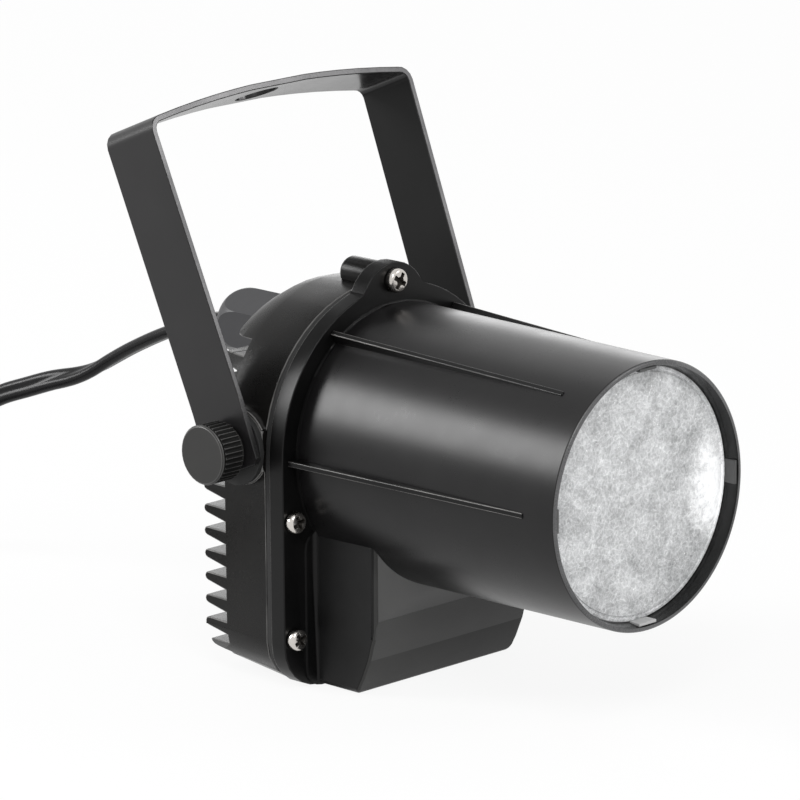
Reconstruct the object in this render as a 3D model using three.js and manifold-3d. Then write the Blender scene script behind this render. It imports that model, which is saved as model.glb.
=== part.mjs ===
// Small LED pinspot light: a lamp barrel on a finned housing, a strap yoke with thumb screws, a mains lead.
// Millimetres. X is the tilt axis, the beam leaves along -Y and +Z is up. The lamp stands on z = 0.
import * as THREE from 'three';
import { mergeVertices } from 'three/addons/utils/BufferGeometryUtils.js';
import Module from 'manifold-3d';

const wasm = await Module();
wasm.setup();

// General
const gap = 0.3;
const overrun = 2;
const weld = 0.0001;
const degree = Math.PI / 180;

// Flange and lamp barrel
const boxRoom = 24.2;
const halfWidth = 37.6;
const footRadius = 11.5;
const flangeThickness = 4.6;
const barrelLength = 82.7;
const flangeLip = 5.6;
const barrelDraft = 0.8;
const barrelWall = 2.1;
const rimRound = 0.6;
const collarRim = 0.55;
const collarHeight = 0.6;
const lensRecess = 4.5;
const lensThickness = 3;
const lensStep = 0.4;
const lensRimWidth = 0.8;
const lensGasketThickness = 1.2;
const ledgeWidth = 2.3;
const ledgeThickness = 2;
const catchReach = 0.9;
const catchWidth = 5;
const catchLength = 1.2;

// Tapered ribs along the barrel
const ribLength = 73;
const ribThickness = 1.3;
const ribInset = 1.6;
const ribTip = 0.5;
const ribAngles = [54.5, 125.5, 180, 0];

// Driver box under the barrel
const boxMargin = 11;
const boxDepth = 19.3;
const boxToeDepth = 12.8;
const boxUnderBarrel = 0.6;
const boxUnderAxis = 12.2;
const boxCorner = 1.5;
const boxNose = 1.2;
const boxWall = 2;
const plinthRim = 4.1;
const plinthUnderAxis = 17.7;
const plinthThickness = 0.7;
const toeShares = [[0, 0], [0.34, 0.17], [0.67, 0.38], [0.91, 0.61], [1, 0.8]];

// Housing screws
const screwRadius = 1.4;
const screwHeadRadius = 2.65;
const screwHeadHeight = 2.15;
const screwCrownShare = 0.7;
const screwCheekShare = 0.55;
const screwLength = 13;
const screwInset = 3.2;
const screwLow = 12.9;
const screwUnderAxis = 14.5;
const lugLift = 0.9;
const postRadius = 3.4;
const lugRadius = 10.8;
const lugDrop = 6.5;
const blendRadius = 1;
const topBossRadius = 3.8;
const topBossLength = 9.4;
const topBossDomeShares = [[1, 0.5], [0.87, 0.25], [0.5, 0.06], [0, 0]];

// Finned rear housing
const seamWidth = 1.8;
const rearInset = 0.4;
const sideDraft = 0.07;
const topDraft = 0.174;
const topDraftShares = [[0, 0], [0.61, 0.1], [0.84, 0.48], [1, 1]];
const footDraft = 0.11;
const rearWall = 2.6;
const floorFront = 18;
const finRoot = 21.6;
const finTip = 29.4;
const finPitch = 5.62;
const finRootThickness = 3.4;
const finTipThickness = 2.2;
const finsAbove = 3;
const bandHalf = 2.4;
const bottomPlate = 3.3;
const gasketWidth = 6;

// Yoke and its pivots
const pivotDepth = 14.4;
const pivotLift = 2.2;
const yokeTilt = 22.9;
const strapThickness = 1.5;
const strapWidth = 17.3;
const armClearance = 2;
const armFlare = 2.15;
const armStraight = 11;
const armBelow = 5.6;
const armLength = 80.3;
const armCorner = 1.5;
const strapBow = 2.9;
const strapLand = 9;
const bendRadius = 3.8;
const bowShares = [0.85, 0.68, 0.51, 0.36];
const leastLeanShare = 0.5;
const strapHoleRadius = 5.5;
const pivotBossRadius = 9.4;
const pivotBossRise = 0.5;
const innerBossRadius = 6.5;
const innerBossDepth = 12.1;
const frictionRadius = 9.2;

// Thumb screws
const studRadius = 2.5;
const studFree = 2.2;
const studInKnob = 4;
const insertRadius = 4;
const insertFloor = 2.3;
const knobRadius = 7.25;
const knurlDepth = 0.5;
const knurlCount = 36;
const knurlShares = [0, 0.45];
const knobLength = 6.9;
const knobDisc = 1.2;
const knobEdge = 0.4;
const knobWasherRadius = 6;
const knobWasherThickness = 1;

// Cable gland
const glandRiseShare = 0.5319;
const glandPadRadius = 9.6;
const glandPadFace = 29.5;
const glandThreadRadius = 6;
const glandNeckRadius = 5.6;
const glandHexRadius = 9;
const glandCollar = 3.8;
const glandNeck = 10;
const glandNutEnd = 47;
const glandDomeEnd = 54.8;
const glandChamfer = 0.4;
const glandDomeShares = [[1, 0], [0.95, 0.3], [0.84, 0.68]];
const glandDomeRadius = 5.4;
const glandWall = 2;
const sealLength = 5;
const lockNutRadius = 7.6;
const lockNutThickness = 3.7;

// Flat twin lead
const cordWidth = 5.3;
const cordThickness = 3.1;
const coreRadius = 1;
const coreSpacing = 2.5;
const coilCentre = [-56, 170];
const coilRadius = 30;
const coilTurns = 5.25;
const coilPitch = 5.9;
const coilLift = 0.8;
const coilLayer = 4;
const coilTail = 15;
const loopSteps = 24;
const coilLeadShares = [2, 1, 0.5];
const coilTailShares = [0.25, 0.5, 1];
const tieWidth = 6;
const tieThickness = 0.5;
const tieAngle = 225;

// Mains plug
const plugHalfWidth = 17.4;
const plugLength = 34;
const plugCableHalf = 6.5;
const plugShoulder = 13;
const plugBevel = 2.2;
const bootLength = 20;
const bootRadius = 4.6;
const bootTipRadius = 3.3;
const pinRadius = 2;
const pinLength = 19;
const pinSpacing = 18.8;
const pinSeat = 7;

// Light engine
const spreaderHeightShare = 0.8387;
const spreaderHalfWidth = 14;
const spreaderFront = 8;
const ledBoardInset = 1;
const ledBoardThickness = 1.6;
const ledScrewSpacing = 20.4;
const ledScrewRadius = 1.2;
const ledHeadRadius = 2.1;
const ledHeadHeight = 1.4;
const emitterHalf = 2.6;
const emitterThickness = 0.8;
const domeRadius = 2.1;
const collimatorRadius = 17;
const collimatorRim = 1.5;
const collimatorFront = 17.5;
const collimatorNeck = 4.6;
const pocketRadius = 3.2;
const pocketDepth = 5.5;
const holderWall = 1.4;
const holderFoot = 7.4;

// Driver
const boardMargin = 5;
const boardLow = 5.5;
const boardUnderAxis = 19.7;
const boardThickness = 1.6;
const boardBack = 14.1;
const boardPostRadius = 2.7;
const boardHoleInset = 3.5;
const boardScrewLength = 5.5;
const transformerWidthShare = 0.47;
const transformerHeightShare = 0.503;
const transformerTallShare = 0.391;
const transformerDepth = 14;
const bobbinInset = 1.6;
const bobbinShare = 0.3;
const capacitorSideShare = -0.62;
const capacitorHeightShare = 0.475;
const capacitorRadiusShare = 0.2793;
const capacitorLength = 16;
const capacitorBead = 0.5;
const chokeSideShare = -0.55;
const chokeHeightShare = 0.66;
const chokeRadiusShare = 0.129;
const chokeLength = 6;
const chokeWaistShare = 0.3;
const chokeLip = 1;
const terminalHalfWidth = 5.6;
const terminalDrop = 7.5;
const terminalRise = 0.7;
const terminalDepth = 7;
const terminalEntry = 1.5;
const ledWireRadius = 0.7;

// Derived places
const rimRadius = halfWidth - flangeLip;
const axisHeight = boxRoom + rimRadius;
const rootRadius = rimRadius + barrelDraft;
const boreRadius = rimRadius - barrelWall;
const ribReach = halfWidth - ribInset;
const boxHalfWidth = halfWidth - boxMargin;
const boxLeanHeight = boxRoom - boxUnderBarrel;
const boxTop = axisHeight - boxUnderAxis;
const plinthHalfWidth = boxHalfWidth + plinthRim;
const plinthHeight = axisHeight - plinthUnderAxis;
const plinthCorner = footRadius - halfWidth + plinthHalfWidth;
const screwSide = halfWidth - screwInset;
const screwMiddle = axisHeight - screwUnderAxis;
const screwTop = axisHeight + halfWidth + lugLift;
const lugHeight = screwTop - lugDrop;
const pivotHeight = axisHeight + pivotLift;
const pivotBossFace = halfWidth + pivotBossRise;
const armInside = pivotBossFace + armClearance;
const innerBossEnd = pivotBossFace - innerBossDepth;
const insertEnd = innerBossEnd + insertFloor;
const studEnd = insertEnd + studFree;
const knobStart = armInside + strapThickness + gap + knobWasherThickness + gap;
const knobFace = knobStart + knobLength;
const glandRise = halfWidth * glandRiseShare;
const glandHeight = axisHeight + glandRise;
const spreaderHalfHeight = (glandRise - lockNutRadius) * spreaderHeightShare;
const boardHalfWidth = boxHalfWidth - boardMargin;
const boardHigh = axisHeight - boardUnderAxis;
const boardHoleSide = boardHalfWidth - boardHoleInset;
const boardHoleLow = boardLow + boardHoleInset;
const boardHoleHigh = boardHigh - boardHoleInset;
const boardHeight = boardHigh - boardLow;
const partsRoomHalf = boardHoleSide - screwHeadRadius;
const partsRoomHeight = axisHeight - rootRadius - boardLow;
const terminalLow = boardHigh - terminalDrop;
const terminalHigh = boardHigh + terminalRise;
const seam = flangeThickness + seamWidth;
const lensFront = -(barrelLength - lensRecess);
const lensBack = lensFront + lensThickness;
const ledge = lensBack + lensGasketThickness + 2 * gap;
const boardFront = boardBack - boardThickness;
const ledBoardFront = spreaderFront - gap - ledBoardThickness;
const screwSpots = [
  [0, screwTop],
  [-screwSide, screwMiddle],
  [screwSide, screwMiddle],
  [-screwSide, screwLow],
  [screwSide, screwLow],
];
const boardSpots = [
  [-boardHoleSide, boardHoleLow],
  [boardHoleSide, boardHoleLow],
  [-boardHoleSide, boardHoleHigh],
  [boardHoleSide, boardHoleHigh],
];
const coilBase = coilLift + cordThickness / 2;
const coilHigh = coilBase + coilLayer;
const coilOuter = coilRadius + (coilPitch * coilTurns) / 4;
const coilInner = coilRadius - (coilPitch * coilTurns) / 4;

// Route of the free stretch, from the gland's mouth to the coil, chosen by hand: the way to the side, the way
// back from the mouth, and the share of the mouth's height above the lying lead
const lyingHeight = 1.75;
const routeWays = [
  [0, 0],
  [0, 3.4],
  [0, 7.9],
  [0, 16],
  [0, 25.8],
  [-0.3, 36.6],
  [-0.8, 42.3],
  [-1.6, 47.4],
  [-2.3, 50.7],
  [-3.2, 54.9],
  [-4.8, 62.4],
  [-6.4, 69.9],
  [-8, 77.3],
  [-9.2, 83.9],
  [-10.4, 91.9],
  [-11.3, 99.4],
  [-11.8, 105.9],
  [-12, 112.4],
  [-12, 119.4],
  [-12, 125.9],
  [-12, 132.4],
  [-13.7, 139.4],
  [-18.4, 146.2],
  [-25.6, 151],
  [-34, 152.65],
  [-42, 152.65],
];
const routeHeightShares = [
  1, 0.99731, 0.98388, 0.94493, 0.89389, 0.82404, 0.78106, 0.73942, 0.71525, 0.69241, 0.66286,
  0.6266, 0.58899, 0.54063, 0.46004, 0.3593, 0.25185, 0.15111, 0.06783, 0.01679, 0.00067, 0,
  0.00201, 0.0047, 0.00739, 0.00806,
];
const cordRoute = routeWays.map(([side, back], i) => [
  side,
  glandDomeEnd + gap + back,
  lyingHeight + (glandHeight - lyingHeight) * routeHeightShares[i],
]);

// Finishes
function finish(color, roughness, metalness) {
  return () => new THREE.MeshStandardMaterial({ color, roughness, metalness });
}
const castBlack = finish(0x2c2b2c, 0.42, 0.1);
const mouldedBlack = finish(0x29292a, 0.36, 0);
const yokePaint = finish(0x464346, 0.5, 0.2);
const knobBlack = finish(0x3c3c3c, 0.5, 0);
const glandGrey = finish(0x55545a, 0.5, 0);
const cordBlack = finish(0x161617, 0.3, 0);
const rubberBlack = finish(0x1c1c1c, 0.8, 0);
const nickel = finish(0xc9c8c4, 0.25, 1);
const steel = finish(0x8f9093, 0.4, 1);
const brass = finish(0xb6924a, 0.35, 1);
const aluminium = finish(0xb9babc, 0.4, 1);
const clear = finish(0xdfe1e3, 0.15, 0);
const boardGreen = finish(0x1f5a37, 0.5, 0);
const boardWhite = finish(0xe8e8e2, 0.5, 0);
const emitterYellow = finish(0xe8d36a, 0.4, 0);
const ferrite = finish(0x3a3735, 0.7, 0);
const sleeve = finish(0x22304a, 0.4, 0);
const brown = finish(0x5a3620, 0.4, 0);
const blue = finish(0x2b56a0, 0.4, 0);
const red = finish(0xa02620, 0.4, 0);
const black = finish(0x141414, 0.4, 0);

const lamp = new THREE.Group();

// Solids from closed geometry
function solid(geometry) {
  const bare = geometry.clone();
  bare.deleteAttribute('normal');
  bare.deleteAttribute('uv');
  const welded = mergeVertices(bare, weld);
  const corners = welded.index.array;
  const kept = [];
  for (let i = 0; i < corners.length; i += 3) {
    const [a, b, c] = [corners[i], corners[i + 1], corners[i + 2]];
    if (a !== b && b !== c && c !== a) kept.push(a, b, c);
  }
  return new wasm.Manifold(new wasm.Mesh({
    numProp: 3,
    vertProperties: Float32Array.from(welded.attributes.position.array),
    triVerts: Uint32Array.from(kept),
  }));
}

function join(solids) {
  return solids.reduce((whole, one) => whole.add(one));
}

function place(name, shape, material) {
  const { numProp, vertProperties, triVerts } = shape.getMesh();
  const geometry = new THREE.BufferGeometry();
  geometry.setAttribute('position', new THREE.BufferAttribute(vertProperties, numProp));
  geometry.setIndex(new THREE.BufferAttribute(triVerts, 1));
  geometry.computeVertexNormals();
  const mesh = new THREE.Mesh(geometry, material());
  mesh.name = name;
  lamp.add(mesh);
}

// Outlines
function arc(x, y, radius, start, end, steps) {
  return Array.from({ length: steps + 1 }, (_, i) => {
    const angle = (start + ((end - start) * i) / steps) * degree;
    return new THREE.Vector2(x + radius * Math.cos(angle), y + radius * Math.sin(angle));
  });
}

function circle(x, y, radius, steps = 24) {
  return new THREE.Shape(arc(x, y, radius, 0, 360, steps).slice(0, -1));
}

function hexagon(x, y, radius) {
  return new THREE.Shape(arc(x, y, radius, 90, 450, 6).slice(0, -1));
}

function rounded(left, bottom, right, top, radius, steps = 4) {
  return new THREE.Shape([
    ...arc(right - radius, top - radius, radius, 0, 90, steps),
    ...arc(left + radius, top - radius, radius, 90, 180, steps),
    ...arc(left + radius, bottom + radius, radius, 180, 270, steps),
    ...arc(right - radius, bottom + radius, radius, 270, 360, steps),
  ]);
}

// A strip of even thickness along an open line of points
function ribbon(line, thickness) {
  const sides = [[], []];
  line.forEach((point, i) => {
    const before = line[Math.max(i - 1, 0)];
    const after = line[Math.min(i + 1, line.length - 1)];
    const ahead = after.clone().sub(point).normalize();
    const behind = point.clone().sub(before).normalize();
    const along = ahead.add(behind).normalize();
    const step = i === 0 || i === line.length - 1 ? behind.add(along) : behind;
    const lean = Math.max(along.dot(step.normalize()), leastLeanShare);
    const across = new THREE.Vector2(-along.y, along.x).multiplyScalar(thickness / 2 / lean);
    sides[0].push(point.clone().add(across));
    sides[1].unshift(point.clone().sub(across));
  });
  return new THREE.Shape([...sides[0], ...sides[1]]);
}

// Extrusions along each axis; the outline is (x, z), (y, z) or (x, y)
const toY = new THREE.Matrix4().makeRotationX(Math.PI / 2);
const toX = new THREE.Matrix4().makeBasis(
  new THREE.Vector3(0, 1, 0),
  new THREE.Vector3(0, 0, 1),
  new THREE.Vector3(1, 0, 0),
);

function extrude(shape, depth) {
  return new THREE.ExtrudeGeometry(shape, { depth, bevelEnabled: false });
}

function geometryAlongY(shape, from, to) {
  return extrude(shape, to - from).applyMatrix4(toY).translate(0, to, 0);
}

function alongY(shape, from, to) {
  return solid(geometryAlongY(shape, from, to));
}

function alongX(shape, from, to) {
  return solid(extrude(shape, to - from).applyMatrix4(toX).translate(from, 0, 0));
}

function alongZ(shape, from, to) {
  return solid(extrude(shape, to - from).translate(0, 0, from));
}

// Turned pieces; a profile is a list of (radius, place along the axis), open on the axis or a closed ring
function turned(profile, steps) {
  const points = profile.map(([radius, along]) => new THREE.Vector2(radius, along));
  const open = points[0].x === 0 && points.at(-1).x === 0;
  if (THREE.ShapeUtils.area(points) < 0) points.reverse();
  if (!open) points.push(points[0].clone());
  return new THREE.LatheGeometry(points, steps);
}

function turnedY(profile, x, z, steps = 32) {
  return solid(turned(profile, steps).translate(x, 0, z));
}

function turnedX(profile, y, z, steps = 32) {
  return solid(turned(profile, steps).rotateZ(-Math.PI / 2).translate(0, y, z));
}

function rod(radius, from, to, x, z, steps = 20) {
  return turnedY([[0, from], [radius, from], [radius, to], [0, to]], x, z, steps);
}

function ring(inner, outer, from, to) {
  return [[inner, from], [outer, from], [outer, to], [inner, to]];
}

// Housing outline: a round top over a square foot with round corners
function tombstone(inset) {
  const radius = halfWidth - inset;
  const corner = footRadius - inset;
  return new THREE.Shape([
    ...arc(0, axisHeight, radius, 0, 180, 28),
    ...arc(corner - radius, footRadius, corner, 180, 270, 4),
    ...arc(radius - corner, footRadius, corner, 270, 360, 4),
  ]);
}

// The same with the screw lug blended in at the top
function flangeOutline() {
  const reach = halfWidth + blendRadius;
  const side = lugRadius + blendRadius;
  const rise = lugHeight - axisHeight;
  const turn = Math.acos((reach ** 2 + rise ** 2 - side ** 2) / (2 * reach * rise)) / degree;
  const lean = Math.acos((side ** 2 + rise ** 2 - reach ** 2) / (2 * side * rise)) / degree;
  const blendX = reach * Math.sin(turn * degree);
  const blendZ = axisHeight + reach * Math.cos(turn * degree);
  return new THREE.Shape([
    ...arc(0, axisHeight, halfWidth, 0, 90 - turn, 16),
    ...arc(blendX, blendZ, blendRadius, 270 - turn, 90 + lean, 3).slice(1, -1),
    ...arc(0, lugHeight, lugRadius, lean - 90, 270 - lean, 12),
    ...arc(-blendX, blendZ, blendRadius, 90 - lean, turn - 90, 3).slice(1, -1),
    ...arc(0, axisHeight, halfWidth, 90 + turn, 180, 16),
    ...arc(footRadius - halfWidth, footRadius, footRadius, 180, 270, 6),
    ...arc(halfWidth - footRadius, footRadius, footRadius, 270, 360, 6),
  ]);
}

// Front housing
function barrelOuter() {
  const tip = -barrelLength;
  return turnedY([
    [0, flangeThickness],
    [rootRadius + collarRim, flangeThickness],
    [rootRadius + collarRim, -collarHeight],
    [rootRadius, -collarHeight],
    [rimRadius, tip + rimRound],
    [rimRadius - rimRound, tip],
    [0, tip],
  ], 0, axisHeight, 60);
}

function barrelBore() {
  return turnedY([
    [0, -barrelLength - overrun],
    [boreRadius, -barrelLength - overrun],
    [boreRadius, ledge],
    [boreRadius - ledgeWidth, ledge],
    [boreRadius - ledgeWidth, ledge + ledgeThickness],
    [boreRadius, ledge + ledgeThickness + ledgeWidth],
    [boreRadius, flangeThickness + overrun],
    [0, flangeThickness + overrun],
  ], 0, axisHeight, 60);
}

function driverBox(inset) {
  const side = new THREE.Shape([
    new THREE.Vector2(flangeThickness + overrun, inset),
    new THREE.Vector2(flangeThickness + overrun, boxTop),
    ...toeShares.map(([depth, height]) => new THREE.Vector2(
      inset - boxToeDepth - depth * (boxDepth - boxToeDepth),
      inset + height * (boxLeanHeight - inset),
    )).concat(new THREE.Vector2(inset - boxDepth, boxTop)).reverse(),
  ]);
  const half = boxHalfWidth - inset;
  const front = rounded(-half, inset, half, boxTop + boxCorner, boxCorner - inset / 2, 2);
  const plan = rounded(-half, inset - boxDepth, half, boxDepth, boxNose - inset / 2, 2);
  return alongX(side, -half, half)
    .intersect(alongY(front, -boxDepth - overrun, flangeThickness + overrun + gap))
    .intersect(alongZ(plan, -overrun, boxTop + overrun));
}

function barrelRib(angle) {
  const buried = rootRadius - ribThickness;
  const blade = new THREE.Shape([
    new THREE.Vector2(0, buried),
    new THREE.Vector2(0, ribReach),
    new THREE.Vector2(-ribLength, rimRadius + ribTip),
    new THREE.Vector2(-ribLength, buried),
  ].reverse());
  const flat = extrude(blade, ribThickness).applyMatrix4(toX).translate(-ribThickness / 2, 0, 0);
  return solid(flat.rotateY((90 - angle) * degree).translate(0, 0, axisHeight));
}

function lensCatch(angle) {
  const block = new THREE.BoxGeometry(catchReach + rimRound, catchLength, catchWidth);
  const middle = lensFront - gap - catchLength / 2;
  block.translate(boreRadius - catchReach + (catchReach + rimRound) / 2, middle, 0);
  return solid(block.rotateY(-angle * degree).translate(0, 0, axisHeight));
}

function frontHousing() {
  const outer = barrelOuter();
  const halfPlinth = plinthHalfWidth;
  const plinth = alongY(
    rounded(-halfPlinth, 0, halfPlinth, plinthHeight, plinthCorner),
    -plinthThickness,
    flangeThickness,
  );
  const skin = join([
    alongY(flangeOutline(), 0, flangeThickness),
    outer,
    plinth,
    driverBox(0).subtract(alongY(circle(0, axisHeight, rimRadius, 48), -boxDepth, seam))
      .subtract(alongY(rounded(-halfWidth, -overrun, halfWidth, boxTop + overrun, overrun),
        flangeThickness, seam + overrun)),
    ...ribAngles.map(barrelRib),
  ]);
  const holes = screwSpots.map(([x, z]) => rod(screwRadius + gap, -overrun, seam, x, z, 12));
  const cavity = driverBox(boxWall).subtract(outer);
  const hollow = skin.subtract(barrelBore()).subtract(cavity).subtract(join(holes));
  return join([hollow, ...[0, 90, 180, 270].map(lensCatch)]);
}

// Rear housing: a drafted cup with level fins, a band and a boss at each pivot.
// The top and each foot corner draw in about their own centres, by the draft of their side. The top's draft
// grows toward the rear, so the top edge is round.
function drafted(inset, front, back) {
  const depth = finTip - seam;
  const stations = topDraftShares.slice(1, -1).map(([share]) => seam + share * depth);
  const cuts = [front, ...stations.filter((y) => y < back - gap), back];
  const steps = cuts.length - 1;
  const geometry = new THREE.ExtrudeGeometry(tombstone(inset), { depth: steps, steps, bevelEnabled: false });
  const points = geometry.applyMatrix4(toY).attributes.position;
  for (let i = 0; i < points.count; i += 1) {
    const place = cuts[steps + Math.round(points.getY(i))];
    const [x, y, z] = [points.getX(i), place - seam, points.getZ(i)];
    const above = z > axisHeight - weld;
    const centreX = above ? 0 : Math.sign(x) * (halfWidth - footRadius);
    const centreZ = above ? axisHeight : footRadius;
    const radius = (above ? halfWidth : footRadius) - inset;
    const drop = above ? topDrop(y / depth) * depth : y * footDraft;
    points.setXYZ(i, centreX + (x - centreX) * (1 - (y * sideDraft) / radius), place,
      centreZ + (z - centreZ) * (1 - drop / radius));
  }
  return solid(geometry);
}

// Share of the top's draft at a share of the depth
function topDrop(share) {
  const last = topDraftShares.length - 1;
  const before = topDraftShares.findLastIndex(([along], i) => i < last && along <= share);
  const [[a, low], [b, high]] = topDraftShares.slice(Math.max(before, 0));
  return topDraft * Math.max(low + ((high - low) * (share - a)) / (b - a), 0);
}

function finBlade(top, tipThickness, rootThickness) {
  const nose = finTipThickness / 2;
  const buried = finRoot - gap;
  return new THREE.Shape([
    new THREE.Vector2(buried, top - rootThickness),
    new THREE.Vector2(finTip - nose, top - tipThickness),
    ...arc(finTip - nose, top - tipThickness + nose, nose, -90, 0, 2).slice(1),
    ...arc(finTip - nose, top - nose, nose, 0, 90, 2),
    new THREE.Vector2(buried, top),
  ]);
}

function finnedCup() {
  const spread = finRootThickness - finTipThickness;
  const bandTop = pivotHeight + bandHalf;
  const band = 2 * bandHalf;
  const lowest = bottomPlate + finRootThickness;
  const finsBelow = Math.floor((bandTop - band + finTipThickness - lowest) / finPitch);
  const blades = [finBlade(bandTop, band, band + spread)];
  for (let n = 1; n <= finsAbove; n += 1) {
    blades.push(finBlade(bandTop + n * finPitch, finTipThickness, finRootThickness));
  }
  for (let n = 1; n <= finsBelow; n += 1) {
    const top = bandTop - band + finTipThickness - n * finPitch;
    blades.push(finBlade(top, finTipThickness, finRootThickness));
  }
  const capTop = axisHeight + halfWidth + overrun;
  const cap = capTop - (bandTop + (finsAbove + 1) * finPitch - finTipThickness);
  blades.push(finBlade(capTop, cap, cap));
  blades.push(finBlade(bottomPlate, bottomPlate + overrun, bottomPlate + overrun));
  const stack = blades.map((blade) => alongX(blade, -halfWidth, halfWidth));
  const core = rounded(-halfWidth, -overrun, halfWidth, capTop, overrun);
  stack.push(alongY(core, seam - overrun, finRoot));
  return join(stack).intersect(drafted(rearInset, seam, finTip));
}

function pivotBoss(side) {
  const outer = [[0, innerBossEnd], [innerBossRadius, innerBossEnd], [innerBossRadius, pivotBossFace],
    [0, pivotBossFace]];
  const collar = halfWidth - rearWall;
  const wide = [[0, collar - overrun], [pivotBossRadius, collar - overrun],
    [pivotBossRadius, pivotBossFace - gap], [pivotBossRadius - gap, pivotBossFace], [0, pivotBossFace]];
  const [core, collarBoss] = [outer, wide].map((profile) => turnedX(
    profile.map(([radius, along]) => [radius, side * along]), pivotDepth, pivotHeight, 32,
  ));
  const behindSeam = alongY(circle(0, axisHeight, axisHeight, 48), seam, finTip);
  return [core, collarBoss.intersect(behindSeam)];
}

function pivotBore(side, radius, from, to) {
  const profile = ring(0, radius, side * from, side * to);
  return turnedX(profile, pivotDepth, pivotHeight, 20);
}

function rearHousing() {
  const topBoss = turnedY([
    [0, flangeThickness + gap],
    [topBossRadius, flangeThickness + gap],
    ...topBossDomeShares.map(([wide, short]) => [
      topBossRadius * wide, seam + topBossLength - topBossRadius * short,
    ]),
  ], 0, screwTop, 20);
  const pad = rod(glandPadRadius, finRoot - gap, glandPadFace, 0, glandHeight, 32);
  const bosses = [-1, 1].map(pivotBoss);
  const skin = join([
    finnedCup(),
    topBoss,
    pad,
    ...bosses.map((pair) => pair[1]),
  ]);
  const screwPosts = screwSpots.slice(1).map(([x, z]) => rod(postRadius, seam, finRoot - gap, x, z, 12));
  const boardPosts = boardSpots.map(([x, z]) => rod(
    boardPostRadius, boardBack + gap, finRoot - gap, x, z, 12,
  ));
  const cavity = drafted(rearInset + rearWall, seam - overrun, floorFront)
    .subtract(join([...screwPosts, ...boardPosts, ...bosses.map((pair) => pair[0])]));
  const screwHoles = screwSpots.map(([x, z]) => rod(
    screwRadius + gap, seam - overrun, screwLength + gap, x, z, 12,
  ));
  const boardHoles = boardSpots.map(([x, z]) => rod(
    screwRadius + gap, seam, boardFront + boardScrewLength, x, z, 12,
  ));
  const ledHoles = [-1, 1].map((side) => rod(
    ledScrewRadius + gap, seam, finRoot, (side * ledScrewSpacing) / 2, axisHeight, 12,
  ));
  const insertSeats = [-1, 1].map((side) => pivotBore(
    side, insertRadius + gap, insertEnd - gap, pivotBossFace + overrun,
  ));
  const glandHole = rod(glandThreadRadius + gap, seam, finTip + overrun, 0, glandHeight, 24);
  return skin.subtract(cavity)
    .subtract(join([...screwHoles, ...boardHoles, ...ledHoles, ...insertSeats, glandHole]));
}

function housingGasket() {
  const outline = tombstone(rearInset);
  outline.holes.push(new THREE.Path(tombstone(rearInset + gasketWidth).getPoints().reverse()));
  const front = flangeThickness + gap;
  const back = seam - gap;
  const holes = screwSpots.slice(1).map(([x, z]) => rod(screwRadius + gap, 0, seam, x, z, 12));
  holes.push(rod(topBossRadius + gap, 0, seam, 0, screwTop, 16));
  return alongY(outline, front, back).subtract(join(holes));
}

function panScrew(x, z, seat, length) {
  const top = seat - screwHeadHeight;
  return turnedY([
    [0, top],
    [screwHeadRadius * screwCrownShare, top],
    [screwHeadRadius, seat - screwHeadHeight * screwCheekShare],
    [screwHeadRadius, seat],
    [screwRadius, seat],
    [screwRadius, seat + length],
    [0, seat + length],
  ], x, z, 12);
}

// Lens group
function frontLens() {
  const rim = boreRadius - gap;
  const step = rim - lensRimWidth;
  return turnedY([
    [0, lensFront],
    [step, lensFront],
    [step, lensFront + lensStep],
    [rim, lensFront + lensStep],
    [rim, lensBack],
    [0, lensBack],
  ], 0, axisHeight, 48);
}

function lensGasket() {
  const rim = boreRadius - gap;
  return turnedY(ring(rim - ledgeWidth, rim, lensBack + gap, ledge - gap), 0, axisHeight, 32);
}

// Light engine
function stadium(halfHeight, halfLength) {
  const reach = halfLength - halfHeight;
  return new THREE.Shape([
    ...arc(reach, axisHeight, halfHeight, -90, 90, 12),
    ...arc(-reach, axisHeight, halfHeight, 90, 270, 12),
  ]);
}

function ledHoles(radius) {
  return join([-1, 1].map((side) => rod(radius, 0, finRoot, (side * ledScrewSpacing) / 2, axisHeight, 12)));
}

function heatSpreader() {
  return alongY(stadium(spreaderHalfHeight, spreaderHalfWidth), spreaderFront, floorFront - gap)
    .subtract(ledHoles(ledScrewRadius + gap));
}

function ledBoard() {
  const outline = stadium(spreaderHalfHeight - ledBoardInset, spreaderHalfWidth - ledBoardInset);
  return alongY(outline, ledBoardFront, ledBoardFront + ledBoardThickness)
    .subtract(ledHoles(ledScrewRadius + gap));
}

function ledEmitter() {
  const base = ledBoardFront - gap;
  const block = new THREE.BoxGeometry(2 * emitterHalf, emitterThickness, 2 * emitterHalf);
  const dome = arc(0, 0, domeRadius, 90, 0, 6).map(({ x, y }) => [x, base - emitterThickness / 2 - y]);
  return solid(block.translate(0, base - emitterThickness / 2, axisHeight))
    .add(turnedY([...dome, [0, base - emitterThickness / 2]], 0, axisHeight, 20));
}

function ledBoardScrew(side) {
  const seat = ledBoardFront - gap;
  return turnedY([
    [0, seat - ledHeadHeight],
    [ledHeadRadius, seat - ledHeadHeight],
    [ledHeadRadius, seat],
    [ledScrewRadius, seat],
    [ledScrewRadius, finRoot - overrun / 2],
    [0, finRoot - overrun / 2],
  ], (side * ledScrewSpacing) / 2, axisHeight, 12);
}

function collimatorLens() {
  const neck = ledBoardFront - gap - emitterThickness - gap;
  const front = -collimatorFront;
  return turnedY([
    [0, front],
    [collimatorRadius, front],
    [collimatorRadius, front + collimatorRim],
    [collimatorRadius - collimatorRim, front + collimatorRim],
    [collimatorNeck * 2, neck - pocketDepth],
    [collimatorNeck, neck],
    [pocketRadius, neck],
    [pocketRadius - gap, neck - pocketDepth],
    [0, neck - pocketDepth - gap],
  ], 0, axisHeight, 20);
}

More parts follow.
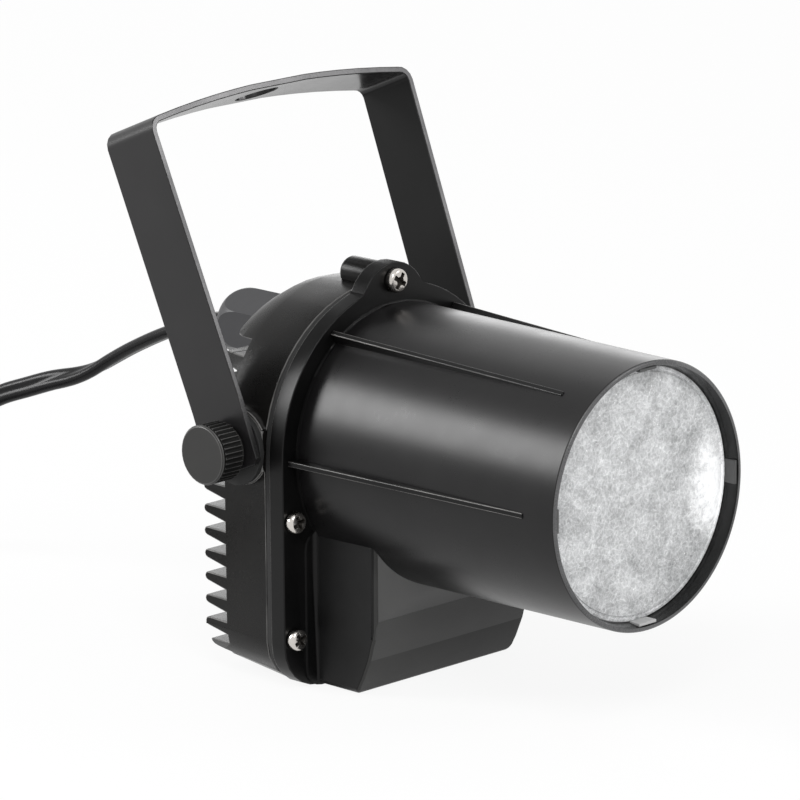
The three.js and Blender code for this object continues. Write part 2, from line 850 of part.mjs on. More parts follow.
function collimatorHolder() {
  const neck = ledBoardFront - gap;
  const front = -collimatorFront;
  const seat = front + collimatorRim + gap;
  const tube = collimatorRadius + gap;
  return turnedY([
    [collimatorNeck + gap, neck],
    [holderFoot, neck],
    [holderFoot, neck - holderWall],
    [collimatorNeck * 2 + gap + holderWall, neck - pocketDepth],
    [tube + holderWall, seat],
    [tube + holderWall, front - holderWall],
    [tube - holderWall, front - holderWall],
    [tube - holderWall, front - gap],
    [tube, front - gap],
    [tube, seat],
    [tube - collimatorRim, seat],
    [collimatorNeck * 2 + gap, neck - pocketDepth],
  ], 0, axisHeight, 20);
}

// Driver; the large parts share the room between the board's screws and under the barrel
function driverBoard() {
  const outline = rounded(-boardHalfWidth, boardLow, boardHalfWidth, boardHigh, overrun);
  const holes = boardSpots.map(([x, z]) => rod(screwRadius + gap, 0, floorFront, x, z, 12));
  return alongY(outline, boardFront, boardBack).subtract(join(holes));
}

function driverTransformer() {
  const [wide, tall] = [partsRoomHalf * transformerWidthShare, partsRoomHeight * transformerTallShare];
  const [x, z] = [wide, boardLow + partsRoomHeight * transformerHeightShare];
  const back = boardFront - gap;
  const front = back - transformerDepth;
  const waist = transformerDepth * bobbinShare;
  const inner = rounded(x - wide + bobbinInset, z - tall + bobbinInset, x + wide - bobbinInset,
    z + tall - bobbinInset, bobbinInset);
  const core = rounded(x - wide, z - tall, x + wide, z + tall, gap);
  return join([
    alongY(inner, front, back),
    alongY(core, front, front + waist),
    alongY(core, back - waist, back),
  ]);
}

function driverCapacitor() {
  const back = boardFront - gap;
  const front = back - capacitorLength;
  const bead = capacitorBead;
  const radius = partsRoomHeight * capacitorRadiusShare;
  const height = boardLow + partsRoomHeight * capacitorHeightShare;
  return turnedY([
    [0, front],
    [radius - bead, front],
    [radius, front + bead],
    [radius, back - 4 * bead],
    [radius - bead, back - 3 * bead],
    [radius, back - 2 * bead],
    [radius, back],
    [0, back],
  ], partsRoomHalf * capacitorSideShare, height, 20);
}

function driverChoke() {
  const back = boardFront - gap;
  const front = back - chokeLength;
  const lip = chokeLip;
  const radius = boardHeight * chokeRadiusShare;
  const waist = radius * (1 - chokeWaistShare);
  return turnedY([
    [0, front],
    [radius, front],
    [radius, front + lip],
    [waist, front + 2 * lip],
    [waist, back - 2 * lip],
    [radius, back - lip],
    [radius, back],
    [0, back],
  ], boardHalfWidth * chokeSideShare, boardLow + boardHeight * chokeHeightShare, 20);
}

function terminalBlock() {
  const back = boardFront - gap;
  const outline = rounded(-terminalHalfWidth, terminalLow, terminalHalfWidth, terminalHigh, gap);
  const block = alongY(outline, back - terminalDepth, back);
  const middle = back - terminalDepth / 2;
  const entries = [-1, 1].map((side) => alongZ(
    circle(side * coreSpacing, middle, terminalEntry, 12), terminalHigh - overrun, terminalHigh + overrun,
  ));
  return block.subtract(join(entries));
}

// A path whose frames stay level, so that a flat lead lies on its wide side
class LevelPath extends THREE.CatmullRomCurve3 {
  computeFrenetFrames(segments) {
    const frames = { tangents: [], normals: [], binormals: [] };
    for (let i = 0; i <= segments; i += 1) {
      const tangent = this.getTangentAt(i / segments);
      const normal = new THREE.Vector3(0, 0, 1).addScaledVector(tangent, -tangent.z).normalize();
      frames.tangents.push(tangent);
      frames.normals.push(normal);
      frames.binormals.push(tangent.clone().cross(normal));
    }
    return frames;
  }
}

// Tubes along a line of points
function tube(points, section, steps, Path = THREE.CatmullRomCurve3) {
  const path = new Path(points.map((point) => new THREE.Vector3(...point)), false, 'centripetal');
  return solid(new THREE.ExtrudeGeometry(section, { steps, extrudePath: path, bevelEnabled: false }));
}

function flatSection(sides) {
  const points = Array.from({ length: sides }, (_, i) => {
    const angle = ((i + 0.5) * 2 * Math.PI) / sides;
    return new THREE.Vector2((cordThickness / 2) * Math.cos(angle), (cordWidth / 2) * Math.sin(angle));
  });
  const highest = Math.max(...points.map(({ x }) => x));
  const widest = Math.max(...points.map(({ y }) => y));
  const grown = points.map(({ x, y }) => new THREE.Vector2(
    (x * cordThickness) / 2 / highest, (y * cordWidth) / 2 / widest,
  ));
  return new THREE.Shape(grown);
}

function mainsCore(side) {
  const start = floorFront / 2 - gap;
  const entry = boardFront - gap - terminalDepth / 2;
  const beside = spreaderHalfWidth + 4 * coreRadius;
  const under = axisHeight - spreaderHalfHeight - 3 * coreRadius;
  const foot = holderFoot + coreRadius;
  return tube([
    [(side * coreSpacing) / 2, start, glandHeight],
    [(side * coreSpacing) / 2, start - 3 * coreRadius, glandHeight],
    [side * foot, start - 5 * coreRadius, glandHeight - 2 * coreRadius],
    [side * (beside - 2 * coreRadius), start - 5 * coreRadius, glandHeight - foot],
    [side * beside, entry - coreRadius, axisHeight],
    [side * (beside - coreRadius), entry, under + 3 * coreRadius],
    [side * foot, entry, under],
    [side * (coreSpacing + coreRadius), entry, under - coreRadius / 2],
    [side * coreSpacing, entry, under - 3 * coreRadius],
    [side * coreSpacing, entry, terminalHigh - coreRadius],
  ], circle(0, 0, coreRadius, 8), 16);
}

function ledWire(side) {
  const start = holderFoot + 2 * ledWireRadius;
  const top = axisHeight - 2 * ledHeadRadius;
  const out = ledBoardFront - gap;
  const land = boardHoleSide - 2 * screwHeadRadius;
  const end = boardHigh - 2 * ledWireRadius;
  return tube([
    [side * start, out, top],
    [side * start, out - 3 * ledWireRadius, top],
    [side * (start + ledWireRadius), out - 5 * ledWireRadius, top - 4 * ledWireRadius],
    [side * (land - 4 * ledWireRadius), out - 5 * ledWireRadius, end + 6 * ledWireRadius],
    [side * (land - ledWireRadius), out - 2 * ledWireRadius, end + 2 * ledWireRadius],
    [side * land, (out + boardFront) / 2, end],
    [side * land, boardFront - gap, end],
  ], circle(0, 0, ledWireRadius, 6), 14);
}

// Cable gland
function ovalHole(clearance, from, to) {
  const [wide, tall] = [cordWidth / 2 + clearance, cordThickness / 2 + clearance];
  return alongY(rounded(-wide, glandHeight - tall, wide, glandHeight + tall, tall - gap / 2), from, to);
}

function glandBody() {
  const collarStart = glandPadFace + gap;
  const neckStart = collarStart + glandCollar;
  return join([
    rod(glandThreadRadius, floorFront - gap - lockNutThickness - gap, collarStart + gap, 0, glandHeight),
    alongY(hexagon(0, glandHeight, glandHexRadius), collarStart, neckStart),
    rod(glandNeckRadius, neckStart - gap, neckStart + glandNeck, 0, glandHeight),
  ]).subtract(rod(glandNeckRadius - glandWall, 0, glandDomeEnd, 0, glandHeight));
}

function glandNut() {
  const start = glandPadFace + gap + glandCollar + gap;
  const rise = glandDomeEnd - glandNutEnd;
  const skin = turnedY([
    [0, start],
    [glandHexRadius - glandChamfer, start],
    [glandHexRadius, start + glandChamfer],
    ...glandDomeShares.map(([wide, along]) => [glandHexRadius * wide, glandNutEnd + rise * along]),
    [glandDomeRadius, glandDomeEnd],
    [0, glandDomeEnd],
  ], 0, glandHeight, 30).intersect(alongY(hexagon(0, glandHeight, glandHexRadius), 0, glandDomeEnd + gap));
  const sleeveRadius = glandNeckRadius + gap;
  return skin.subtract(turnedY([
    [0, 0],
    [sleeveRadius, 0],
    [sleeveRadius, glandNutEnd],
    [glandDomeRadius - glandWall / 2, glandDomeEnd - glandWall],
    [cordWidth / 2 + 2 * gap, glandDomeEnd - glandWall],
    [cordWidth / 2 + 2 * gap, glandDomeEnd + gap],
    [0, glandDomeEnd + gap],
  ], 0, glandHeight));
}

function glandSeal() {
  const start = glandPadFace + gap + glandCollar + glandNeck + gap;
  const end = Math.min(start + sealLength, glandDomeEnd - glandWall - gap);
  const profile = [[0, start], [glandNeckRadius, start], [glandNeckRadius, glandNutEnd - gap],
    [glandDomeRadius - glandWall / 2 - gap, end], [0, end]];
  return turnedY(profile, 0, glandHeight).subtract(ovalHole(gap / 2, 0, glandDomeEnd));
}

function glandLockNut() {
  const back = floorFront - gap;
  return alongY(hexagon(0, glandHeight, lockNutRadius), back - lockNutThickness, back)
    .subtract(rod(glandThreadRadius + gap, 0, floorFront, 0, glandHeight));
}

function innerLead() {
  const section = flatSection(12);
  const shape = new THREE.Shape(section.getPoints().map(({ x, y }) => new THREE.Vector2(y, x)).reverse());
  return solid(geometryAlongY(shape, floorFront / 2, glandDomeEnd).translate(0, 0, glandHeight));
}

// Yoke
function yokeLine() {
  const middle = strapThickness / 2;
  const low = armInside + middle;
  const high = low + armFlare;
  const bend = bendRadius - middle;
  const top = armLength - middle;
  const reach = high - bend;
  const bow = (x) => new THREE.Vector2(x, top + strapBow * (1 - (x / reach) ** 2));
  const half = [
    new THREE.Vector2(low, -armBelow),
    new THREE.Vector2(low, armStraight),
    ...arc(high - bend, top - bend, bend, 0, 90, 4),
    ...bowShares.map((share) => bow(reach * share)),
    new THREE.Vector2(strapLand, bow(strapLand).y),
  ];
  const mirrored = half.map(({ x, y }) => new THREE.Vector2(-x, y)).reverse();
  return [...half, ...mirrored];
}

function yoke() {
  const half = strapWidth / 2;
  const top = armLength + strapBow + overrun;
  const strap = alongY(ribbon(yokeLine(), strapThickness), -half, half);
  const side = new THREE.Shape([
    new THREE.Vector2(half, top),
    new THREE.Vector2(-half, top),
    ...arc(armCorner - half, armCorner - armBelow, armCorner, 180, 270, 4),
    ...arc(half - armCorner, armCorner - armBelow, armCorner, 270, 360, 4),
  ]);
  const far = armInside + armFlare + 2 * strapThickness;
  const trimmed = strap
    .intersect(alongX(side, -far, far))
    .subtract(alongX(circle(0, 0, studRadius + gap + gap / 3, 24), -far, far))
    .subtract(alongZ(circle(0, 0, strapHoleRadius, 32), armLength - bendRadius, top));
  return trimmed.rotate([-yokeTilt, 0, 0]).translate([0, pivotDepth, pivotHeight]);
}

// Thumb screws and what they clamp
function knob(side) {
  const outline = [];
  for (let i = 0; i < knurlCount; i += 1) {
    knurlShares.forEach((share, k) => {
      const radius = knobRadius - k * knurlDepth;
      const angle = ((i + share) * 2 * Math.PI) / knurlCount;
      outline.push(new THREE.Vector2(
        pivotDepth + radius * Math.cos(angle), pivotHeight + radius * Math.sin(angle),
      ));
    });
  }
  const grip = [side * knobStart, side * (knobFace - knobDisc)].sort((a, b) => a - b);
  const disc = turnedX([
    [0, side * (knobFace - knobDisc - gap)],
    [knobRadius - knobEdge, side * (knobFace - knobDisc - gap)],
    [knobRadius, side * (knobFace - knobDisc + knobEdge)],
    [knobRadius, side * (knobFace - knobEdge)],
    [knobRadius - knobEdge, side * knobFace],
    [0, side * knobFace],
  ], pivotDepth, pivotHeight, 36);
  return alongX(new THREE.Shape(outline), ...grip)
    .add(disc)
    .subtract(pivotBore(side, studRadius + gap, knobStart - overrun, knobStart + studInKnob + gap));
}

function stud(side) {
  const tip = studRadius / 5;
  return turnedX([
    [0, side * studEnd],
    [studRadius - tip, side * studEnd],
    [studRadius, side * (studEnd + tip)],
    [studRadius, side * (knobStart + studInKnob)],
    [0, side * (knobStart + studInKnob)],
  ], pivotDepth, pivotHeight, 24);
}

function pivotRing(side, inner, outer, from, to) {
  return turnedX(ring(inner, outer, side * from, side * to), pivotDepth, pivotHeight, 20);
}

// Cord coil: two layers that spiral in, climb and spiral out again
function coilPoint(turn) {
  const middle = coilTurns / 2;
  const radius = coilInner + coilPitch * Math.abs(turn - middle);
  const climb = Math.min(Math.max((turn - middle) * 2 + 0.5, 0), 1);
  const angle = Math.PI / 2 + turn * 2 * Math.PI;
  return [
    coilCentre[0] + radius * Math.cos(angle),
    coilCentre[1] + radius * Math.sin(angle),
    coilBase + (coilLayer * (1 - Math.cos(climb * Math.PI))) / 2,
  ];
}

function coilLine() {
  const steps = Math.round(coilTurns * loopSteps);
  const turns = Array.from({ length: steps + 1 }, (_, i) => coilPoint((i * coilTurns) / steps));
  const start = turns[0];
  const end = turns.at(-1);
  const lead = coilLeadShares.map((share) => [start[0] + cordWidth * share, start[1], start[2]]);
  const tail = coilTailShares.map((share) => [end[0], end[1] - coilTail * share, end[2]]);
  return [...lead, ...turns, ...tail];
}

// The coil's least gap to itself: the flat sections of one turn and the others in their radial plane
function leastGap() {
  const outline = flatSection(6).getSpacedPoints(36);
  const place = (turn) => {
    const [x, y, z] = coilPoint(turn);
    return [Math.hypot(x - coilCentre[0], y - coilCentre[1]), z];
  };
  let least = Infinity;
  for (let turn = 0; turn <= coilTurns; turn += 1 / loopSteps) {
    for (let other = turn + 1; other <= coilTurns; other += 1) {
      const [across, up] = place(other).map((value, i) => value - place(turn)[i]);
      outline.forEach((a) => outline.forEach((b) => {
        least = Math.min(least, Math.hypot(across + a.y - b.y, up + a.x - b.x));
      }));
    }
  }
  return least;
}

function cordTie() {
  const inner = coilInner - cordWidth / 2 - 2 * gap;
  const outer = coilOuter + cordWidth / 2 + 2 * gap;
  const top = coilHigh + cordThickness / 2 + gap;
  const wall = tieThickness;
  const outline = rounded(inner - wall, 0, outer + wall, top + wall, 2 * wall, 3);
  const window = rounded(inner, wall, outer, top, wall, 3).getPoints().reverse();
  outline.holes.push(new THREE.Path(window));
  const band = geometryAlongY(outline, -tieWidth / 2, tieWidth / 2);
  return solid(band.rotateZ(tieAngle * degree).translate(coilCentre[0], coilCentre[1], 0));
}

// Plug: the cord comes in from +Y and the pins point to -Y
function plugPlace() {
  const [x, y, z] = coilLine().at(-1);
  return { x, back: y - gap, z };
}

function plugOutline(x, back) {
  const face = back - plugLength;
  const half = plugHalfWidth;
  const right = [
    [plugCableHalf, back],
    [plugCableHalf + (half - plugCableHalf) / 2, back - plugShoulder / 2],
    [half - gap, back - plugShoulder],
    [half, face + plugBevel],
    [half - plugBevel, face],
  ];
  const left = right.map(([px, py]) => [-px, py]).reverse();
  return new THREE.Shape([...right, ...left].map(([px, py]) => new THREE.Vector2(x + px, py)).reverse());
}

function plugBody() {
  const { x, back, z } = plugPlace();
  const shoulder = back - bootLength;
  const body = new THREE.ExtrudeGeometry(plugOutline(x, shoulder), {
    depth: 2 * (z - plugBevel),
    bevelThickness: plugBevel,
    bevelSize: plugBevel,
    bevelOffset: -plugBevel,
    bevelSegments: 2,
  }).translate(0, 0, plugBevel);
  const boot = turnedY([
    [0, shoulder - plugBevel],
    [bootRadius, shoulder - plugBevel],
    [bootTipRadius, back],
    [0, back],
  ], x, z, 12);
  return solid(body).add(boot).subtract(plugPin(-1, gap)).subtract(plugPin(1, gap));
}

function plugPin(side, clearance) {
  const { x, back, z } = plugPlace();
  const face = back - bootLength - plugLength;
  const radius = pinRadius + clearance;
  const tip = arc(0, 0, radius, 90, 0, 4).map((point) => [point.x, face - pinLength + radius - point.y]);
  const profile = [...tip, [radius, face + pinSeat + clearance], [0, face + pinSeat + clearance]];
  return turnedY(profile, x + (side * pinSpacing) / 2, z, 12);
}

// Assembly: housings
place('front_housing', frontHousing(), mouldedBlack);
place('rear_housing', rearHousing(), castBlack);
place('housing_gasket', housingGasket(), rubberBlack);
['top', 'middle_left', 'middle_right', 'low_left', 'low_right'].forEach((name, i) => {
  place(`flange_screw_${name}`, panScrew(...screwSpots[i], -gap, screwLength), nickel);
});
place('front_lens', frontLens(), clear);
place('lens_gasket', lensGasket(), rubberBlack);

// Assembly: light engine and driver
place('heat_spreader', heatSpreader(), aluminium);
place('led_board', ledBoard(), boardWhite);
place('led_emitter', ledEmitter(), emitterYellow);
place('led_board_screw_left', ledBoardScrew(-1), steel);
place('led_board_screw_right', ledBoardScrew(1), steel);
place('collimator_lens', collimatorLens(), clear);
place('collimator_holder', collimatorHolder(), mouldedBlack);
place('driver_board', driverBoard(), boardGreen);
['low_left', 'low_right', 'high_left', 'high_right'].forEach((name, i) => {
  const screw = panScrew(...boardSpots[i], boardFront - gap, boardScrewLength);
  place(`board_screw_${name}`, screw, steel);
});
place('driver_transformer', driverTransformer(), ferrite);
place('driver_capacitor', driverCapacitor(), sleeve);
place('driver_choke', driverChoke(), ferrite);
place('terminal_block', terminalBlock(), boardGreen);
place('mains_core_brown', mainsCore(-1), brown);
place('mains_core_blue', mainsCore(1), blue);
place('led_wire_red', ledWire(-1), red);
place('led_wire_black', ledWire(1), black);

// Assembly: yoke, pivots and thumb screws
place('yoke', yoke(), yokePaint);
[['left', -1], ['right', 1]].forEach(([name, side]) => {
  const washer = armInside + strapThickness + gap;
  place(`thumb_knob_${name}`, knob(side), knobBlack);
  place(`thumb_stud_${name}`, stud(side), steel);
  place(`knob_washer_${name}`, pivotRing(
    side, studRadius + gap, knobWasherRadius, washer, washer + knobWasherThickness,
  ), steel);
  place(`friction_washer_${name}`, pivotRing(
    side, studRadius + gap, frictionRadius, pivotBossFace + gap, armInside - gap,
  ), rubberBlack);
  place(`pivot_insert_${name}`, pivotRing(
    side, studRadius + gap, insertRadius, insertEnd, pivotBossFace - gap,
  ), brass);
});

// Assembly: gland, lead and plug
place('gland_body', glandBody(), glandGrey);
place('gland_nut', glandNut(), glandGrey);
place('gland_seal', glandSeal(), rubberBlack);
place('gland_lock_nut', glandLockNut(), glandGrey);
place('inner_lead', innerLead(), cordBlack);

const loops = coilLine();
const coilStart = loops[0];
const runPoints = [...cordRoute, [coilStart[0] + gap + cordWidth, coilStart[1], coilStart[2]],
  [coilStart[0] + gap, coilStart[1], coilStart[2]]];
place('cord_run', tube(runPoints, flatSection(8), 48, LevelPath), cordBlack);
place('cord_coil', tube(loops, flatSection(6), loops.length + 3, LevelPath), cordBlack);
place('cord_tie', cordTie(), rubberBlack);
place('plug_body', plugBody(), cordBlack);
place('plug_pin_left', plugPin(-1, 0), nickel);
place('plug_pin_right', plugPin(1, 0), nickel);
console.log(`coil: least gap to itself ${leastGap().toFixed(2)} mm`);

export default lamp;
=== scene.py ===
import math

import bmesh
import bpy
from mathutils import Matrix, Vector


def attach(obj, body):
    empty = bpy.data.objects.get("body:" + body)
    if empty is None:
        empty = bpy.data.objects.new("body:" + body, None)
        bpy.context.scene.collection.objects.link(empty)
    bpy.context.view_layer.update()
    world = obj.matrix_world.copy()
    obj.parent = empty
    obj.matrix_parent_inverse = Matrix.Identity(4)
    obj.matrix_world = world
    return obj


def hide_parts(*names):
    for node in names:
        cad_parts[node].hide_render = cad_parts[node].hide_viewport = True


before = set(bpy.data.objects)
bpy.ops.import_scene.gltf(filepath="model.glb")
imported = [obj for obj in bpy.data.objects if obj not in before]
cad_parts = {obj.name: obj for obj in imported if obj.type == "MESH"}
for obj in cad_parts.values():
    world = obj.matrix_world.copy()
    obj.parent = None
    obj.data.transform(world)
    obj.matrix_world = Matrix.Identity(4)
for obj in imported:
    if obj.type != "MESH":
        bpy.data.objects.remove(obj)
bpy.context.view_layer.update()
print("frame loaded:", len(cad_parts), "CAD nodes")

mm = 0.001


# Places taken over from the CAD source, in millimetres and degrees. The beam leaves along -Y.
lamp = {
    "axisHeight": 56.2,
    "barrelLength": 82.7,
    "rimRadius": 32.0,
    "rootRadius": 32.8,
    "glandHeight": 76.2,
    "yokeTilt": 22.9,
}


# Camera: at the photograph's place and angle
camera = {
    "azimuth": -45.14,
    "elevation": 14.04,
    "roll": -0.48,
    "distance": 1500.0,
    "aim": (1.24, 8.69, 56.2),  # along the picture's right, up, and the height of the lamp axis
    "focalPixels": 6255.0,
    "framePixels": 800.0,
    "sensor": 36.0,
    "clip": (0.01, 50),
}


def addCamera(c):
    azimuth, elevation, roll = (math.radians(c[key]) for key in ("azimuth", "elevation", "roll"))
    level = math.cos(elevation)
    right = Vector((math.cos(azimuth), math.sin(azimuth), 0))
    back = Vector((math.sin(azimuth) * level, -math.cos(azimuth) * level, math.sin(elevation)))
    up = back.cross(right)
    turnedRight = math.cos(roll) * right + math.sin(roll) * up
    turnedUp = math.cos(roll) * up - math.sin(roll) * right
    aim = turnedRight * c["aim"][0] + turnedUp * c["aim"][1] + Vector((0, 0, c["aim"][2]))
    bpy.ops.object.camera_add(location=(aim + back * c["distance"]) * mm)
    made = bpy.context.object
    made.name = "photoCamera"
    made.rotation_euler = Matrix((turnedRight, turnedUp, back)).transposed().to_euler()
    made.data.sensor_width = c["sensor"]
    made.data.lens = c["focalPixels"] / c["framePixels"] * c["sensor"]
    made.data.clip_start, made.data.clip_end = c["clip"]
    bpy.context.scene.camera = made


addCamera(camera)
print("camera placed")


# Mesh helpers
def pickNothing():
    if bpy.context.object and bpy.context.object.mode != "OBJECT":
        bpy.ops.object.mode_set(mode="OBJECT")
    bpy.ops.object.select_all(action="DESELECT")


def pick(piece):
    pickNothing()
    piece.select_set(True)
    bpy.context.view_layer.objects.active = piece


def editAll(piece):
    pick(piece)
    bpy.ops.object.mode_set(mode="EDIT")
    bpy.ops.mesh.select_all(action="SELECT")


def leaveEdit():
    bpy.ops.object.mode_set(mode="OBJECT")


def applyPlace(piece):
    pick(piece)
    bpy.ops.object.transform_apply(location=True, rotation=True, scale=True)


def applyModifier(piece, kind, **settings):
    pick(piece)
    modifier = piece.modifiers.new(kind.title(), kind)
    for key, value in settings.items():
        setattr(modifier, key, value)
    bpy.ops.object.modifier_apply(modifier=modifier.name)


# Smooth shading up to an angle; the larger faces keep their own direction and look flat
def smooth(piece, angle=35):
    pick(piece)
    bpy.ops.object.shade_smooth_by_angle(angle=math.radians(angle), keep_sharp_edges=False)
    applyModifier(piece, "WEIGHTED_NORMAL", keep_sharp=True)


# Joins corners closer than a distance and removes slivers, both in millimetres
def weld(piece, distance, sliver=0.03):
    editAll(piece)
    bpy.ops.mesh.remove_doubles(threshold=distance * mm)
    bpy.ops.mesh.dissolve_degenerate(threshold=sliver * mm)
    leaveEdit()


def mendNormals(piece, distance=0.005):
    editAll(piece)
    bpy.ops.mesh.remove_doubles(threshold=distance * mm)
    bpy.ops.mesh.normals_make_consistent(inside=False)
    leaveEdit()


# A copy of a CAD node with its flat faces joined up, ready to be rounded
copying = {"weld": 0.01, "flatAngle": 0.6, "lastWeld": 0.06}


def copyNode(node, name):
    pickNothing()
    piece = bpy.data.objects.new(name, bpy.data.objects[node].data.copy())
    bpy.context.collection.objects.link(piece)
    piece.data.materials.clear()
    editAll(piece)
    bpy.ops.mesh.remove_doubles(threshold=copying["weld"] * mm)
    bpy.ops.mesh.dissolve_limited(angle_limit=math.radians(copying["flatAngle"]))
    leaveEdit()
    weld(piece, copying["lastWeld"])
    return piece


def giveFinishes(piece, *names):
    piece.data.materials.clear()
    for name in names:
        piece.data.materials.append(finishes[name])


def slotOf(piece, finish):
    return piece.data.materials.find(finishes[finish].name)


# Gives the faces picked by their middle in millimetres, and their direction, one of its finishes
def paintFaces(piece, finish, where):
    slot = slotOf(piece, finish)
    for face in piece.data.polygons:
        if where(face.center / mm, face.normal):
            face.material_index = slot


# Rounds every edge sharper than an angle
def bevelEdges(piece, width, angle=30, clamp=True):
    applyModifier(piece, "BEVEL", width=width * mm, segments=2, limit_method="ANGLE",
                  angle_limit=math.radians(angle), harden_normals=False, miter_outer="MITER_ARC",
                  use_clamp_overlap=clamp)


# Rounds the outward edges of a piece, or those that "where" picks by their middle in millimetres
# and their direction; the narrow new faces get one of its finishes
def roundEdges(piece, width, finish, where=None, segments=3, angle=30, shortest=0.6):
    shape = bmesh.new()
    shape.from_mesh(piece.data)
    layers = shape.edges.layers.float
    weight = layers.get("bevel_weight_edge") or layers.new("bevel_weight_edge")
    for edge in shape.edges:
        edge[weight] = 0.0
        if len(edge.link_faces) != 2 or not edge.is_convex or edge.calc_length() <= shortest * mm:
            continue
        a, b = (corner.co / mm for corner in edge.verts)
        if where is None or where((a + b) / 2, (b - a).normalized()):
            edge[weight] = float(edge.calc_face_angle() > math.radians(angle))
    shape.to_mesh(piece.data)
    shape.free()
    applyModifier(piece, "BEVEL", width=width * mm, segments=segments, limit_method="WEIGHT",
                  material=slotOf(piece, finish), use_clamp_overlap=False,
                  miter_outer="MITER_ARC")


def cut(piece, tool, how="DIFFERENCE"):
    applyModifier(piece, "BOOLEAN", object=tool, operation=how, solver="EXACT")
    bpy.data.objects.remove(tool, do_unlink=True)


# A turned piece: a ring of points is extruded and scaled from station to station along +Z. The
# profile gives radius and station; a closed profile comes back to its first ring.
def turnPiece(name, profile, steps, closed=False, least=0.01):
    pickNothing()
    rings = [(max(radius, least), along) for radius, along in profile]
    radius, along = rings[0]
    bpy.ops.mesh.primitive_circle_add(vertices=steps, radius=radius * mm, location=(0, 0, 0),
                                      fill_type="NOTHING")
    piece = bpy.context.object
    piece.name = name
    editAll(piece)
    bpy.ops.transform.translate(value=(0, 0, along * mm))
    if not closed:
        bpy.ops.mesh.edge_face_add()
    for (before, start), (after, end) in zip(rings, rings[1:]):
        bpy.ops.mesh.extrude_region_move(
            TRANSFORM_OT_translate={"value": (0, 0, (end - start) * mm)})
        bpy.ops.transform.resize(value=(after / before,) * 3, center_override=(0, 0, end * mm))
    if closed:
        bpy.ops.mesh.select_all(action="DESELECT")
        bpy.ops.mesh.select_mode(type="EDGE")
        bpy.ops.mesh.select_non_manifold(extend=False)
        bpy.ops.mesh.bridge_edge_loops()
    leaveEdit()
    mendNormals(piece)
    return piece


# Turned pieces are made along +Z and then laid along the lamp's axis
turns = {"+Y": (-math.pi / 2, 0, 0), "-Y": (math.pi / 2, 0, 0)}


def lay(piece, direction, place):
    piece.rotation_euler = turns[direction]
    piece.location = Vector(place) * mm
    applyPlace(piece)


def block(name, low, high):
    pickNothing()
    middle = [(a + b) / 2 * mm for a, b in zip(low, high)]
    bpy.ops.mesh.primitive_cube_add(size=1, location=middle)
    piece = bpy.context.object
    piece.name = name
    piece.scale = [(b - a) * mm for a, b in zip(low, high)]
    applyPlace(piece)
    return piece


# An upright cylinder or prism on the Z axis
def rod(name, radius, bottom, length, steps):
    pickNothing()
    bpy.ops.mesh.primitive_cylinder_add(vertices=steps, radius=radius * mm, depth=length * mm,
                                        location=(0, 0, (bottom + length / 2) * mm))
    piece = bpy.context.object
    piece.name = name
    applyPlace(piece)
    return piece


def dress(piece, body, slot, *nodes, finish=None):
    if finish:
        giveFinishes(piece, finish)
    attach(piece, body)
    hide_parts(*nodes)


# Material helpers: expressions on values add their nodes
class Link:
    def __init__(self, tree, socket):
        self.tree = tree
        self.socket = socket

    def node(self, kind, settings=None, inputs=None, output=0):
        made = self.tree.nodes.new(kind)
        for key, value in (settings or {}).items():
            setattr(made, key, value)
        for key, value in (inputs or {}).items():
            if isinstance(value, Link):
                self.tree.links.new(value.socket, made.inputs[key])
            else:
                made.inputs[key].default_value = value
        return Link(self.tree, made.outputs[output])

    def maths(self, operation, left, right):
        return self.node("ShaderNodeMath", {"operation": operation}, {0: left, 1: right})

    def __add__(self, other):
        return self.maths("ADD", self, other)

    def __radd__(self, other):
        return self.maths("ADD", other, self)

    def __sub__(self, other):
        return self.maths("SUBTRACT", self, other)

    def __rsub__(self, other):
        return self.maths("SUBTRACT", other, self)

    def __mul__(self, other):
        return self.maths("MULTIPLY", self, other)

    def __rmul__(self, other):
        return self.maths("MULTIPLY", other, self)

    # 0 at the first value, 1 at the second; the first may be the larger
    def limit(self, low, high):
        return self.node("ShaderNodeMapRange", {"clamp": True},
                         {0: self, 1: low, 2: high, 3: 0.0, 4: 1.0})

    def blend(self, first, second):
        return self.node("ShaderNodeMix", {"data_type": "RGBA"}, {0: self, 6: first, 7: second}, 2)

    def noise(self, scale, detail=3.0, roughness=0.5, distortion=0.0):
        return self.node("ShaderNodeTexNoise", None, {
            "Vector": self, "Scale": scale, "Detail": detail, "Roughness": roughness,
            "Distortion": distortion})

    def cells(self, scale, feature="F1"):
        return self.node("ShaderNodeTexVoronoi", {"feature": feature},
                         {"Vector": self, "Scale": scale})

    def stretched(self, scale):
        return self.node("ShaderNodeMapping", None, {"Vector": self, "Scale": scale})

    # Leads a finished shader to a new output node
    def show(self, output):
        end = self.tree.nodes.new(output)
        self.tree.links.new(self.socket, end.inputs["Surface"])


def newFinish(name, fixed):
    material = bpy.data.materials.new(name)
    material.use_nodes = True
    shader = next(n for n in material.node_tree.nodes if n.type == "BSDF_PRINCIPLED")
    for key, value in fixed.items():
        shader.inputs[key].default_value = value
    place = Link(material.node_tree, None).node("ShaderNodeTexCoord", output=3)
    return material, shader, place


def feed(shader, key, link):
    link.tree.links.new(link.socket, shader.inputs[key])


def feedBump(shader, height, strength, distance):
    feed(shader, "Normal", height.node("ShaderNodeBump", None, {
        "Strength": strength, "Distance": distance * mm, "Height": height}))


# What all surfaces share: the scale, detail and roughness of their noises, and their bump
grainMake = {
    "drift": (38, 4, 0.6),
    "driftReach": (0.35, 0.7),
    "patch": (120, 5, 0.65),
    "speck": (2, 0.6),
    "bump": 0.35,
}


